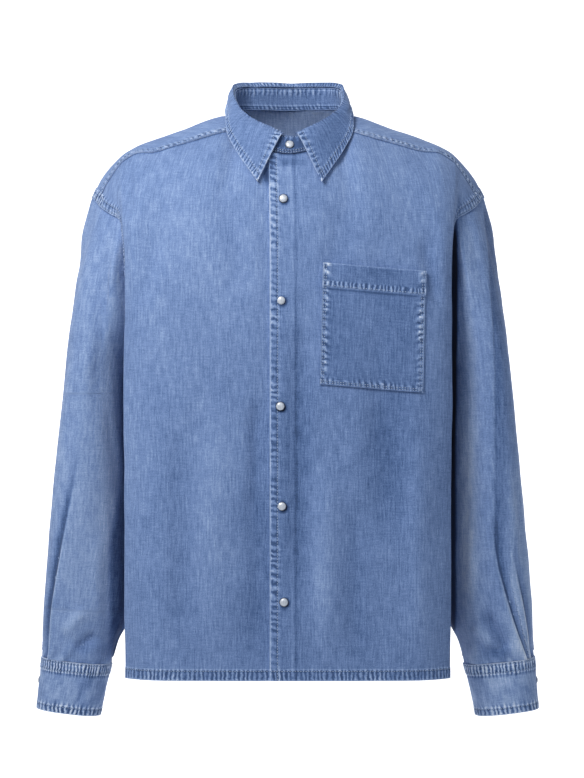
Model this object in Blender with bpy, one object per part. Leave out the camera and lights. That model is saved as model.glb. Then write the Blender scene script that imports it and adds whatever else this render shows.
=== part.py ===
"""Denim shirt, filled out as if worn, standing in the air round an unseen wearer.

Metres, +Z up, the front faces -Y, the wearer's left is +X.  The origin is the middle of the
neck opening at the level of the shoulder line, where a wearer carries the shirt.

Every piece of cloth is a wall of even thickness.  Its outer face is a grid of points: rows
that run round the body or the arm, and columns that run up it.  Both are read from the
section tables below, so pieces that are sewn together share the points of their seam.
"""

import math

import bmesh
import bpy
import numpy as np

# ---- sizes, metres ----------------------------------------------------------------------
WALL = 0.0015                 # cloth thickness
SEAM_GAP = 0.0003             # between neighbours that are sewn together
LAP = WALL + 1.6 * SEAM_GAP   # step from one layer to the layer under it

UNDERARM_Z = -0.325
CHEST_Z = -0.185              # the fronts are level sections up to here
BLADE_Z = -0.200              # and the back up to here
BREAST_X = 0.100              # where a section's breast and side columns are measured
SIDE_X = 0.178
CORNER_RADIUS = 0.010         # fold of the body panels at their outer corners

FLY_EDGE = 0.0222             # each front runs this far past the middle
UNDERFLY_RAMP = 0.020         # width over which the lower front sinks under the upper one
SNAP_RADIUS = 0.0057
SNAP_HEIGHT = 0.0030
SNAP_SIDES = 12
SNAP_PLACES = (               # x and z of the front snaps, from the top
    (-0.0056, -0.1184),
    (-0.0082, -0.2452),
    (-0.0093, -0.3759),
    (-0.0074, -0.4994),
    (-0.0048, -0.6178),
)

POCKET_WIDTH = 0.127
POCKET_HEIGHT = 0.150
POCKET_BAND = 0.030           # folded top hem
POCKET_CENTRE = (0.1050, -0.2788)
POCKET_TURN = math.radians(-4.7)        # slope of its top and bottom
POCKET_LEAN = math.radians(-1.3)        # and of its sides
POCKET_GAP = 0.0009
POCKET_COLUMNS = 15

CUFF_OPENING = 205.0          # angle of the cuff's lap round the arm, degrees
CUFF_LAP = 24.0               # how far it laps, degrees
PLACKET_WIDTH = 0.026
PLACKET_LENGTH = 0.135
PLACKET_FOOT_Z = -0.6950
PLACKET_ARM_RADIUS = 0.052    # of the arm under it
PLACKET_GAP = 0.0010


def table(columns, *rows):
    """A table as {column name: array}, one value for each row."""
    return dict(zip(columns.split(), np.array(rows, float).T))


# Half sections of the fronts, from the middle to the fold of the outer corner, and round it
# to the tuck beside the arm.  Above the underarm the tuck of the left side is shallower.
FRONT_SECTIONS = table(
    "z       centre_y breast_y side_y  corner_x corner_y tuck_x  tuck_y  tuck_y_shallow",
    (-0.715, -0.1180, -0.1165, -0.1070, 0.2035, -0.0840, 0.1980, -0.052, -0.052),
    (-0.600, -0.1160, -0.1150, -0.1060, 0.2035, -0.0840, 0.1970, -0.052, -0.052),
    (-0.450, -0.1150, -0.1140, -0.1050, 0.2040, -0.0830, 0.1965, -0.052, -0.053),
    (-0.325, -0.1150, -0.1130, -0.1030, 0.2044, -0.0820, 0.1970, -0.052, -0.056),
    (-0.250, -0.1140, -0.1110, -0.1000, 0.2044, -0.0810, 0.1985, -0.056, -0.067),
    (-0.200, -0.1120, -0.1075, -0.0950, 0.2046, -0.0780, 0.2005, -0.056, -0.068),
    (-0.185, -0.1110, -0.1060, -0.0920, 0.2050, -0.0765, 0.2015, -0.056, -0.067),
)
FRONT_STATIONS = (-0.314, 0.0, 0.314, 0.561, 0.630, 0.680, 0.780, 1.0)

BACK_SECTIONS = table(
    "z       centre_y breast_y side_y corner_x corner_y tuck_x  tuck_y",
    (-0.715, 0.1100, 0.1095, 0.1010, 0.1890, 0.0840, 0.1870, 0.055),
    (-0.600, 0.1110, 0.1100, 0.1010, 0.1870, 0.0850, 0.1840, 0.055),
    (-0.450, 0.1140, 0.1130, 0.1030, 0.1860, 0.0870, 0.1830, 0.056),
    (-0.325, 0.1170, 0.1160, 0.1060, 0.1880, 0.0900, 0.1870, 0.062),
    (-0.260, 0.1180, 0.1170, 0.1080, 0.1930, 0.0970, 0.1955, 0.086),
    (-0.200, 0.1180, 0.1165, 0.1080, 0.1980, 0.1000, 0.2060, 0.094),
)
BACK_STATIONS = (-0.340, 0.0, 0.340, 0.600, 0.680, 0.740, 0.830, 1.0)

SIDE_SEAM = table(
    "z       x      y",
    (-0.715, 0.1860, 0.020),
    (-0.600, 0.1840, 0.020),
    (-0.450, 0.1825, 0.020),
    (-0.370, 0.1840, 0.019),
    (-0.325, 0.1870, 0.018),
)

# The armhole, from the underarm up the front, over the shoulder and down the back.  out_x,
# out_y and out_z give the way the sleeve leaves it, and turn the place on the arm, in degrees
# from the inner side by the front, that this stretch of it runs down to.
ARMHOLE = table(
    "x      y       y_shallow z      out_x  out_y  out_z  turn",
    (0.1870, 0.018, 0.018, -0.3250, 0.50, 0.00, -0.85, 0),
    (0.1920, -0.020, -0.026, -0.3000, 0.55, -0.20, -0.80, 14),
    (0.2005, -0.041, -0.056, -0.2500, 0.58, -0.45, -0.70, 30),
    (0.2060, -0.045, -0.062, -0.2000, 0.50, -0.55, -0.65, 46),
    (0.2078, -0.048, -0.060, -0.1650, 0.42, -0.45, -0.80, 58),
    (0.2105, -0.047, -0.052, -0.1420, 0.30, -0.35, -0.90, 70),
    (0.2240, -0.038, -0.039, -0.1330, 0.22, -0.30, -0.93, 96),
    (0.2360, -0.028, -0.028, -0.1250, 0.25, -0.28, -0.92, 120),
    (0.2425, -0.014, -0.014, -0.1180, 0.30, -0.15, -0.94, 146),
    (0.2510, 0.005, 0.005, -0.1094, 0.33, 0.00, -0.94, 180),
    (0.2485, 0.028, 0.028, -0.1140, 0.30, 0.15, -0.94, 208),
    (0.2390, 0.050, 0.050, -0.1240, 0.25, 0.25, -0.93, 234),
    (0.2260, 0.074, 0.074, -0.1500, 0.25, 0.30, -0.92, 262),
    (0.2130, 0.087, 0.087, -0.1900, 0.35, 0.25, -0.90, 288),
    (0.2010, 0.087, 0.087, -0.2400, 0.50, 0.12, -0.85, 312),
    (0.1910, 0.067, 0.067, -0.2900, 0.55, 0.05, -0.83, 336),
    (0.1870, 0.018, 0.018, -0.3250, 0.50, 0.00, -0.85, 360),
)
ARMHOLE_FRONT_YOKE = 8        # rows of ARMHOLE where the yoke's seams meet it
ARMHOLE_BACK_YOKE = 11

# The neck, from the middle of the front to the middle of the back: the seam of the stand, the
# stand's top edge, the fold of the leaf and the leaf's outer edge.
NECK = table(
    "station seam_x  seam_y   seam_z   top_x   top_y    top_z    fold_x  fold_y   fold_z"
    "   edge_x  edge_y   edge_z",
    (0.00, 0.0000, -0.0800, -0.0604, 0.0000, -0.0680, -0.0375, 0.0080, -0.0690, -0.0328,
     0.0400, -0.0985, -0.0970),
    (0.12, 0.0265, -0.0755, -0.0555, 0.0215, -0.0640, -0.0320, 0.0250, -0.0630, -0.0240,
     0.0545, -0.0845, -0.0755),
    (0.25, 0.0490, -0.0620, -0.0440, 0.0385, -0.0520, -0.0215, 0.0420, -0.0500, -0.0142,
     0.0665, -0.0715, -0.0570),
    (0.38, 0.0635, -0.0430, -0.0295, 0.0525, -0.0335, -0.0080, 0.0575, -0.0310, -0.0005,
     0.0790, -0.0525, -0.0320),
    (0.50, 0.0705, -0.0210, -0.0135, 0.0612, -0.0130, 0.0085, 0.0665, -0.0120, 0.0145,
     0.0812, -0.0200, -0.0080),
    (0.60, 0.0735, 0.0000, -0.0045, 0.0640, 0.0030, 0.0205, 0.0685, 0.0040, 0.0265,
     0.0808, 0.0100, -0.0010),
    (0.72, 0.0680, 0.0240, 0.0045, 0.0610, 0.0225, 0.0315, 0.0665, 0.0240, 0.0382,
     0.0755, 0.0365, 0.0000),
    (0.86, 0.0440, 0.0465, 0.0075, 0.0395, 0.0450, 0.0360, 0.0430, 0.0485, 0.0438,
     0.0475, 0.0610, -0.0015),
    (1.00, 0.0000, 0.0560, 0.0080, 0.0000, 0.0515, 0.0362, 0.0000, 0.0550, 0.0434,
     0.0000, 0.0705, -0.0025),
)
YOKE_NECK_STATION = 0.41      # where the yoke's front seam leaves the neck
COLLAR_SHIFT = 0.0022         # the collar sits this far to the wearer's left

# The yoke over one shoulder, from the middle of the back outwards: its front edge past the
# neck, its crest, the slope behind it and its back seam.
YOKE_NECK_PLACE = 0.48
YOKE_FRONT_SEAM = table(
    "place x     y       z",
    (0.48, 0.0655, -0.0385, -0.0262),
    (0.53, 0.0817, -0.0450, -0.0300),
    (0.65, 0.1200, -0.0440, -0.0405),
    (0.80, 0.1650, -0.0380, -0.0530),
    (0.92, 0.2122, -0.0260, -0.0680),
    (0.96, 0.2300, -0.0195, -0.0930),
    (1.00, 0.2425, -0.0140, -0.1180),
)
YOKE = table(
    "place crest_x crest_y crest_z blade_x blade_y blade_z seam_x seam_y seam_z",
    (0.00, 0.0000, 0.0680, -0.0080, 0.0000, 0.0900, -0.0480, 0.0000, 0.1060, -0.0950),
    (0.14, 0.0470, 0.0600, -0.0080, 0.0500, 0.0865, -0.0480, 0.0500, 0.1055, -0.0955),
    (0.27, 0.0770, 0.0380, -0.0085, 0.0820, 0.0765, -0.0480, 0.0780, 0.1045, -0.0960),
    (0.36, 0.0865, 0.0180, -0.0080, 0.0970, 0.0690, -0.0485, 0.0970, 0.1030, -0.0970),
    (0.48, 0.0945, 0.0040, -0.0085, 0.1090, 0.0630, -0.0490, 0.1110, 0.1015, -0.0980),
    (0.53, 0.1010, 0.0030, -0.0107, 0.1180, 0.0600, -0.0510, 0.1200, 0.1000, -0.0990),
    (0.65, 0.1310, 0.0020, -0.0220, 0.1430, 0.0560, -0.0570, 0.1440, 0.0970, -0.1010),
    (0.80, 0.1700, 0.0020, -0.0355, 0.1760, 0.0510, -0.0655, 0.1770, 0.0900, -0.1055),
    (0.86, 0.1900, 0.0025, -0.0440, 0.1935, 0.0470, -0.0715, 0.1925, 0.0835, -0.1090),
    (0.92, 0.2140, 0.0030, -0.0590, 0.2135, 0.0420, -0.0815, 0.2110, 0.0740, -0.1130),
    (0.96, 0.2360, 0.0040, -0.0830, 0.2340, 0.0350, -0.0995, 0.2270, 0.0620, -0.1185),
    (1.00, 0.2510, 0.0050, -0.1094, 0.2485, 0.0280, -0.1140, 0.2390, 0.0500, -0.1240),
)
YOKE_ROWS = (0.0, 0.38, 0.72, 1.0)      # front edge, crest, slope, back seam

# Which place of the yoke's front edge a column of the front panel runs up to.
FRONT_TO_YOKE = table(
    "station place",
    (0.270, 0.48), (0.330, 0.53), (0.500, 0.65), (0.610, 0.80),
    (0.680, 0.915), (0.780, 0.935), (1.000, 1.00),
)

# The sleeve below the armhole: extent from the inner to the outer side and from the front to
# the back, how far its front leans outward, and the slope of the ring, outer side up.
SLEEVE_SECTIONS = table(
    "z       inner_x outer_x front_y  back_y  lean   slope",
    (-0.360, 0.1915, 0.2836, -0.0620, 0.0980, 0.020, 0.00),
    (-0.450, 0.1925, 0.2936, -0.0570, 0.0940, 0.020, 0.00),
    (-0.540, 0.1950, 0.3030, -0.0500, 0.0880, 0.016, 0.02),
    (-0.600, 0.1990, 0.3082, -0.0450, 0.0820, 0.012, 0.04),
    (-0.655, 0.2095, 0.3134, -0.0400, 0.0740, 0.006, 0.08),
    (-0.672, 0.2185, 0.3143, -0.0380, 0.0690, 0.003, 0.09),
    (-0.687, 0.2232, 0.3150, -0.0360, 0.0600, 0.000, 0.10),
    (-0.701, 0.2262, 0.3151, -0.0320, 0.0460, 0.000, 0.105),
)
SLEEVE_SQUARENESS = 2.35      # 2 is an ellipse, more is a rounder box

CUFF_SECTIONS = table(
    "z       inner_x outer_x front_y  back_y lean   slope",
    (-0.7015, 0.2262, 0.3156, -0.0325, 0.0465, 0.000, 0.105),
    (-0.7400, 0.2345, 0.3195, -0.0320, 0.0450, 0.000, 0.108),
    (-0.7670, 0.2400, 0.3210, -0.0305, 0.0425, 0.000, 0.115),
)

# Pleats that the sleeve is laid in above its cuff: how far out each trough runs at four
# heights, its depth at the cuff, and where it has run out.
PLEAT_HEIGHTS = (-0.480, -0.560, -0.625, -0.701)
PLEATS_LEFT = table(
    "x1     x2     x3     x4     depth  top_z",
    (0.2590, 0.2625, 0.2790, 0.3045, 0.0070, -0.490),
    (0.2760, 0.2840, 0.2975, 0.3120, 0.0060, -0.540),
)
PLEATS_RIGHT = table(
    "x1     x2     x3     x4     depth  top_z",
    (0.2710, 0.2870, 0.2985, 0.3060, 0.0075, -0.450),
)
PLEAT_WIDTH = 0.0060

# Levels of the rows, counted so that neighbours meet point for point.
BODY_LEVELS = (-0.715, -0.650, -0.580, -0.510, -0.440, -0.380, UNDERARM_Z)
FRONT_LEVELS = (-0.290, -0.255, -0.220, CHEST_Z)
BACK_LEVELS = (-0.290, -0.250, BLADE_Z)
FRONT_UPPER_ROWS = 9
BACK_UPPER_ROWS = 4
YOKE_ROW_COUNT = 6
FLY_STATION = FLY_EDGE / BREAST_X * FRONT_STATIONS[2]
FRONT_NECK_STATIONS = (-FLY_STATION, 0.0, FLY_STATION, 0.137, 0.2035)
FRONT_SEAM_STATIONS = (0.270, 0.330, 0.415, 0.500, 0.565, 0.620, 0.655, 0.680, 0.725, 0.780,
                       0.880, 1.000)
YOKE_NECK_PLACES = (0.0, 0.07, 0.14, 0.205, 0.27, 0.32, 0.36, 0.42)
SLEEVE_LEVELS = (-0.400, -0.450, -0.500, -0.540, -0.575, -0.610, -0.635, -0.655, -0.672,
                 -0.687, -0.7010)
SLEEVE_CAP_ROWS = 6
SMOOTH_SEAM = 0.80            # length of the mean of two normals at a seam that lies smooth
LEAF_STATIONS = np.array([0.0, 0.06, 0.12, 0.20, 0.29, 0.38, 0.46, 0.54, 0.62, 0.70, 0.78, 0.86,
                          0.93, 1.0])
LEAF_START_STATION = 0.035    # the leaf starts this far from the middle of the front
LEAF_ROLL = 0.0034            # from the fold out to the outer ply


# ---- curves -----------------------------------------------------------------------------
def smooth(knots, values, where):
    """Values at `where` on a smooth curve through the rows (cubic, slopes from neighbours)."""
    order = np.argsort(knots)
    knots = np.asarray(knots, float)[order]
    values = np.asarray(values, float)[order]
    where = np.asarray(where, float)
    slopes = np.gradient(values, knots, axis=0)
    seg = np.clip(np.searchsorted(knots, where, side="right") - 1, 0, len(knots) - 2)
    span = knots[seg + 1] - knots[seg]
    t = (where - knots[seg]) / span
    if values.ndim > 1:
        extra = (1,) * (values.ndim - 1)
        t = t.reshape(t.shape + extra)
        span = span.reshape(span.shape + extra)
    return hermite(values[seg], slopes[seg] * span, values[seg + 1], slopes[seg + 1] * span, t)


def hermite(start, start_slope, end, end_slope, t):
    """Cubic from start to end with the given slopes, at t from 0 to 1."""
    return ((2 * t**3 - 3 * t**2 + 1) * start + (t**3 - 2 * t**2 + t) * start_slope
            + (3 * t**2 - 2 * t**3) * end + (t**3 - t**2) * end_slope)


def ease(t):
    """0 to 1 with soft ends."""
    t = np.clip(t, 0.0, 1.0)
    return t * t * (3.0 - 2.0 * t)


def columns(rows, *names):
    return np.stack([rows[name] for name in names], axis=-1)


def unit(vectors):
    return vectors / np.linalg.norm(vectors, axis=-1, keepdims=True)


# ---- seams ------------------------------------------------------------------------------
def armhole_keys(shallow):
    """The armhole's points, and where each lies along it from 0 to 1."""
    points = columns(ARMHOLE, "x", "y_shallow" if shallow else "y", "z")
    steps = np.linalg.norm(np.diff(points, axis=0), axis=1)
    along = np.concatenate([[0.0], np.cumsum(steps)])
    return points, along / along[-1]


def armhole(where, shallow):
    """Points of the armhole, the way the sleeve leaves it there, and the turn on the arm."""
    points, along = armhole_keys(shallow)
    out = smooth(along, columns(ARMHOLE, "out_x", "out_y", "out_z"), where)
    return smooth(along, points, where), unit(out), smooth(along, ARMHOLE["turn"], where)


def armhole_places(shallow):
    """Where the rows of the front, the yoke and the back meet the armhole, in that order."""
    _, along = armhole_keys(shallow)
    front_yoke = along[ARMHOLE_FRONT_YOKE]
    back_yoke = along[ARMHOLE_BACK_YOKE]
    dense = np.linspace(0.0, 1.0, 2001)
    height = armhole(dense, shallow)[0][:, 2]
    rising = dense < front_yoke * 0.6
    front_low = np.interp(FRONT_LEVELS, height[rising], dense[rising])
    front_high = np.linspace(front_low[-1], front_yoke, FRONT_UPPER_ROWS + 1)[1:]
    over = np.linspace(front_yoke, back_yoke, YOKE_ROW_COUNT + 1)[1:]
    falling = dense > 0.75
    back_low = np.interp(BACK_LEVELS, height[falling][::-1], dense[falling][::-1])
    back_high = np.linspace(back_yoke, back_low[-1], BACK_UPPER_ROWS + 1)[1:]
    front = np.concatenate([[0.0], front_low, front_high])
    back = np.concatenate([back_high, back_low[:-1][::-1], [1.0]])
    return front, over, back


def neck_curve(name, station):
    """Points of one of the neck's curves; below station 0 it has passed the front's middle."""
    sign = np.where(np.asarray(station) < 0, -1.0, 1.0)
    points = columns(NECK, name + "_x", name + "_y", name + "_z")
    if name in ("seam", "top"):
        stations = np.concatenate([-NECK["station"][:0:-1], NECK["station"]])
        both = np.concatenate([mirrored(points[:0:-1]), points])
        return smooth(stations, both, station)
    return smooth(NECK["station"], points, np.abs(station)) * np.stack(
        [sign, np.ones_like(sign), np.ones_like(sign)], axis=-1)


def yoke_front_edge(place):
    """The yoke's front boundary: the neck up to YOKE_NECK_PLACE, then its front seam."""
    place = np.asarray(place, float)
    station = 1.0 - (1.0 - YOKE_NECK_STATION) * np.minimum(place / YOKE_NECK_PLACE, 1.0)
    neck = neck_curve("seam", station)
    seam = smooth(YOKE_FRONT_SEAM["place"], columns(YOKE_FRONT_SEAM, "x", "y", "z"),
                  np.maximum(place, YOKE_NECK_PLACE))
    seam += (neck_curve("seam", YOKE_NECK_STATION) - columns(YOKE_FRONT_SEAM, "x", "y", "z")[0]
             ) * (1.0 - ease((place[:, None] - YOKE_NECK_PLACE) / 0.05))
    return np.where(place[:, None] < YOKE_NECK_PLACE, neck, seam)


def front_places():
    """Places on the yoke's front seam where the columns of a front panel arrive."""
    return np.interp(FRONT_SEAM_STATIONS, FRONT_TO_YOKE["station"], FRONT_TO_YOKE["place"])


def front_neck_stations():
    """Stations on the neck where the columns of a front panel arrive."""
    return YOKE_NECK_STATION * np.asarray(FRONT_NECK_STATIONS) / FRONT_SEAM_STATIONS[0]


# ---- panels, right-hand side of the picture plane; the other side is mirrored ------------
def section_net(sections, level, tuck_name, edge, forward):
    """Key points of level half sections, from past the middle to the seam at the side."""
    z = sections["z"]
    read = {name: smooth(z, sections[name], level) for name in sections if name != "z"}
    level = np.asarray(level, float)
    flat = np.full_like(level, 1.0)
    before_x = read["corner_x"] - 0.8 * CORNER_RADIUS
    before_y = read["corner_y"] + forward * CORNER_RADIUS
    keys = [
        (-BREAST_X * flat, read["breast_y"]),
        (0.0 * flat, read["centre_y"]),
        (BREAST_X * flat, read["breast_y"]),
        (SIDE_X * flat, read["side_y"]),
        (before_x, before_y),
        (read["corner_x"], read["corner_y"]),
        (read["tuck_x"], read[tuck_name]),
    ]
    net = [np.stack([x, y, level], axis=-1) for x, y in keys]
    return np.stack(net + [edge], axis=1)


def panel(sections, stations, levels, upper_rows, columns_at, tuck_name, low_edge, high_edge,
          top, top_slope, forward):
    """A body panel: level rows up to the chest, then columns that lean back to its top edge."""
    low = low_edge(levels)
    net = section_net(sections, levels, tuck_name, low, forward)
    rows = np.stack([smooth(stations, row, columns_at) for row in net])
    below = np.array([levels[-1] - 0.015, levels[-1]])
    step = section_net(sections, below, tuck_name, low_edge(below), forward)
    chest = [smooth(stations, row, columns_at) for row in step]
    direction = unit(chest[1] - chest[0])
    start = rows[-1]
    chord = np.linalg.norm(top - start, axis=-1, keepdims=True)
    t = (np.arange(1, upper_rows + 1) / upper_rows)[:, None, None]
    upper = hermite(start, direction * chord, top, unit(top_slope) * chord, t)
    pull = ease((np.asarray(columns_at) - stations[-2]) / (1.0 - stations[-2]))[None, :, None]
    upper = upper + (high_edge[:, None, :] - upper[:, -1:, :]) * pull
    return np.concatenate([rows, upper])


def side_edge(levels, start, end, shallow):
    """The side seam at the given levels and, above the underarm, that stretch of armhole."""
    levels = np.asarray(levels, float)
    curve = armhole(np.linspace(start, end, 400), shallow)[0]
    side = smooth(SIDE_SEAM["z"], columns(SIDE_SEAM, "x", "y"), np.minimum(levels, UNDERARM_Z))
    arm = np.stack([np.interp(levels, curve[:, 2], curve[:, axis]) for axis in (0, 1)], -1)
    flat = np.where(levels[:, None] <= UNDERARM_Z, side, arm)
    return np.concatenate([flat, levels[:, None]], axis=1)


def front_grid(shallow):
    """Outer face of a front, from its edge past the middle to the side seam and armhole."""
    front, _, _ = armhole_places(shallow)
    seam_edge = armhole(front, shallow)[0]

    def low_edge(levels):
        return side_edge(levels, 0.0, front[len(FRONT_LEVELS)], shallow)

    stations = np.concatenate([FRONT_NECK_STATIONS, FRONT_SEAM_STATIONS])
    top = np.concatenate([neck_curve("seam", front_neck_stations()),
                          yoke_front_edge(front_places())])
    lean = ease(np.abs(stations) / 0.35)[:, None]
    slope = (1 - lean) * np.array([0.0, 0.42, 0.90]) + lean * np.array([0.02, 0.72, 0.68])
    outward = ease((stations - 0.60) / 0.40)[:, None]
    slope = slope + outward * np.array([-0.10, 0.05, 0.20])
    grid = panel(FRONT_SECTIONS, FRONT_STATIONS, BODY_LEVELS + FRONT_LEVELS, FRONT_UPPER_ROWS,
                 stations, "tuck_y_shallow" if shallow else "tuck_y", low_edge,
                 seam_edge[len(FRONT_LEVELS) + 1:], top, slope, -1)
    grid[len(BODY_LEVELS) - 1:, -1] = seam_edge
    return grid


def back_stations():
    """Columns of half the back, one below each column of the yoke."""
    places = np.concatenate([YOKE_NECK_PLACES, front_places()])
    seam_x = smooth(YOKE["place"], YOKE["seam_x"], places)
    keys = table("seam_x station", (0.0, 0.0), (0.100, 0.330), (0.177, 0.600), (0.2110, 0.720),
                 (0.2270, 0.84), (0.2390, 1.0))
    return np.interp(seam_x, keys["seam_x"], keys["station"])


def back_grid():
    """Outer face of half the back, from its middle to the side seam and armhole."""
    _, _, back = armhole_places(False)
    seam_end = columns(YOKE, "seam_x", "seam_y", "seam_z")[-1:]
    seam_edge = np.concatenate([armhole(back, False)[0][::-1], seam_end])

    def low_edge(levels):
        return side_edge(levels, 1.0, back[BACK_UPPER_ROWS - 1], False)

    stations = back_stations()
    places = np.concatenate([YOKE_NECK_PLACES, front_places()])
    top = smooth(YOKE["place"], columns(YOKE, "seam_x", "seam_y", "seam_z"), places)
    slope = np.tile([0.0, -0.30, 0.95], (len(stations), 1))
    grid = panel(BACK_SECTIONS, BACK_STATIONS, BODY_LEVELS + BACK_LEVELS, BACK_UPPER_ROWS,
                 stations, "tuck_y", low_edge, seam_edge[len(BACK_LEVELS) + 1:], top, slope, 1)
    grid[len(BODY_LEVELS) - 1:, -1] = seam_edge
    return grid


def yoke_grid(shallow):
    """Outer face of the yoke over one shoulder: rows from its front edge to its back seam."""
    places = np.concatenate([YOKE_NECK_PLACES, front_places()])
    keys = [yoke_front_edge(places)]
    for name in ("crest", "blade", "seam"):
        keys.append(smooth(YOKE["place"], columns(YOKE, name + "_x", name + "_y", name + "_z"),
                           places))
    rows = np.linspace(0.0, 1.0, YOKE_ROW_COUNT + 1)
    grid = smooth(YOKE_ROWS, np.stack(keys), rows)
    front, over, _ = armhole_places(shallow)
    edge = armhole(np.concatenate([front[-1:], over]), shallow)[0]
    pull = ease((places - 0.92) / 0.08)[None, :, None]
    return grid + (edge[:, None, :] - grid[:, -1:, :]) * pull


# ---- sleeves ----------------------------------------------------------------------------
def ring(sections, level, turn):
    """Points round a sleeve or cuff at the given turns (degrees), ring by ring."""
    read = {name: smooth(sections["z"], sections[name], level)[:, None]
            for name in sections if name != "z"}
    centre_x = (read["inner_x"] + read["outer_x"]) / 2
    reach = (read["outer_x"] - read["inner_x"]) / 2
    width = np.sqrt(reach**2 - read["lean"]**2)
    centre_y = (read["front_y"] + read["back_y"]) / 2
    depth = (read["back_y"] - read["front_y"]) / 2
    angle = np.radians(turn)[None, :]
    power = 2.0 / SLEEVE_SQUARENESS
    across = np.sign(np.cos(angle)) * np.abs(np.cos(angle)) ** power
    ahead = np.sign(np.sin(angle)) * np.abs(np.sin(angle)) ** power
    x = centre_x - width * across + read["lean"] * ahead
    y = centre_y - depth * ahead
    z = np.asarray(level, float)[:, None] + read["slope"] * (x - centre_x)
    return np.stack([x, y, z], axis=-1)


def press_pleats(points, pleats):
    """Sinks the front of the sleeve along each pleat."""
    z = points[..., 2]
    front = ease((0.01 - points[..., 1]) / 0.02)
    for row in zip(*pleats.values()):
        run, depth, top_z = row[:4], row[4], row[5]
        heights = PLEAT_HEIGHTS[::-1]
        line = smooth(heights, run[::-1], np.clip(z, heights[0], heights[-1]))
        strength = ease((top_z - z) / (top_z - heights[0])) * depth
        offset = (points[..., 0] - line) / PLEAT_WIDTH
        sink = strength * front * (np.exp(-offset**2) - 0.45 * np.exp(-(offset - 1.9)**2))
        points[..., 1] += sink
    return points


def sleeve_turns(shallow):
    front, over, back = armhole_places(shallow)
    return np.concatenate([front, over, back[:-1]])


def sleeve_grid(shallow, pleats):
    """Outer face of a sleeve: rings from the armhole to the cuff, each a closed row."""
    start, out, turn = armhole(sleeve_turns(shallow), shallow)
    top_level = SLEEVE_SECTIONS["z"][0]
    below = ring(SLEEVE_SECTIONS, np.array([top_level, top_level - 0.01]), turn)
    end = below[0]
    end_slope = unit(below[1] - below[0])
    chord = np.linalg.norm(end - start, axis=-1, keepdims=True)
    t = (np.arange(SLEEVE_CAP_ROWS + 1) / SLEEVE_CAP_ROWS)[:, None, None]
    cap = hermite(start, out * chord, end, end_slope * chord, t)
    arm = ring(SLEEVE_SECTIONS, np.array(SLEEVE_LEVELS), turn)
    return press_pleats(np.concatenate([cap, arm]), pleats)


# ---- solids -----------------------------------------------------------------------------
def face_normals(grid, closed):
    """Normal of the outer face at each point of a grid."""
    if closed:
        wrapped = np.concatenate([grid[:, -1:], grid, grid[:, :1]], axis=1)
        along = np.gradient(wrapped, axis=1)[:, 1:-1]
    else:
        along = np.gradient(grid, axis=1)
    up = np.gradient(grid, axis=0)
    return unit(np.cross(along, up))


def share_normals(pieces):
    """Gives the points that pieces share along a seam one normal, so their walls stay apart.

    In the notch beside the arm the two faces look at each other, and each keeps its own.
    """
    total = {}
    for piece in pieces:
        piece["normals"] = face_normals(piece["grid"], piece["closed"]) * piece["turn_out"]
        for point, normal in edge_points(piece):
            key = tuple(np.round(point, 6))
            total.setdefault(key, []).append(normal.copy())
    for piece in pieces:
        for point, normal in edge_points(piece):
            mean = np.mean(total[tuple(np.round(point, 6))], axis=0)
            if np.linalg.norm(mean) > SMOOTH_SEAM:
                normal[:] = unit(mean)


def edge_points(piece):
    """The points of a piece's rim with their normals, as views that can be written to."""
    grid, normals = piece["grid"], piece["normals"]
    rim = [(grid[0], normals[0]), (grid[-1], normals[-1])]
    if not piece["closed"]:
        rim += [(grid[1:-1, 0], normals[1:-1, 0]), (grid[1:-1, -1], normals[1:-1, -1])]
    for points, directions in rim:
        for index in range(len(points)):
            yield points[index], directions[index]


def trimmed(grid, closed):
    """The grid with its rim drawn in by half a seam gap."""
    grid = grid.copy()
    source = grid.copy()
    half = SEAM_GAP / 2
    grid[0] += half * unit(source[1] - source[0])
    grid[-1] += half * unit(source[-2] - source[-1])
    if not closed:
        grid[:, 0] += half * unit(source[:, 1] - source[:, 0])
        grid[:, -1] += half * unit(source[:, -2] - source[:, -1])
    return grid


def wall_mesh(name, outer, inner, closed):
    """A closed wall between two grids of the same shape."""
    rows, cols = outer.shape[:2]
    mesh = bmesh.new()
    faces = []
    shells = [[[mesh.verts.new(point) for point in row] for row in grid]
              for grid in (outer, inner)]
    spans = cols if closed else cols - 1
    for shell in shells:
        for i in range(rows - 1):
            for j in range(spans):
                k = (j + 1) % cols
                faces.append((shell[i][j], shell[i][k], shell[i + 1][k], shell[i + 1][j]))
    top, under = shells
    for i in (0, rows - 1):
        for j in range(spans):
            k = (j + 1) % cols
            faces.append((top[i][j], top[i][k], under[i][k], under[i][j]))
    if not closed:
        for j in (0, cols - 1):
            for i in range(rows - 1):
                faces.append((top[i][j], top[i + 1][j], under[i + 1][j], under[i][j]))
    for face in faces:
        mesh.faces.new(face)
    bmesh.ops.triangulate(mesh, faces=mesh.faces[:])
    bmesh.ops.recalc_face_normals(mesh, faces=mesh.faces[:])
    data = bpy.data.meshes.new(name)
    mesh.to_mesh(data)
    mesh.free()
    return data


def add_object(name, data, material):
    data.materials.append(material)
    data.shade_smooth()
    data.set_sharp_from_angle(angle=math.radians(40))
    piece = bpy.data.objects.new(name, data)
    bpy.context.scene.collection.objects.link(piece)
    return piece


def add_cloth(piece, material):
    """The wall under a piece's outer face."""
    outer = trimmed(piece["grid"], piece["closed"])
    inner = outer - piece["normals"] * piece.get("thickness", WALL)
    add_object(piece["name"], wall_mesh(piece["name"], outer, inner, piece["closed"]), material)


def mirrored(grid):
    return grid * (-1.0, 1.0, 1.0)


def cloth(name, grid, closed=False, turn_out=1):
    return {"name": name, "grid": grid, "closed": closed, "turn_out": turn_out}


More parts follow.
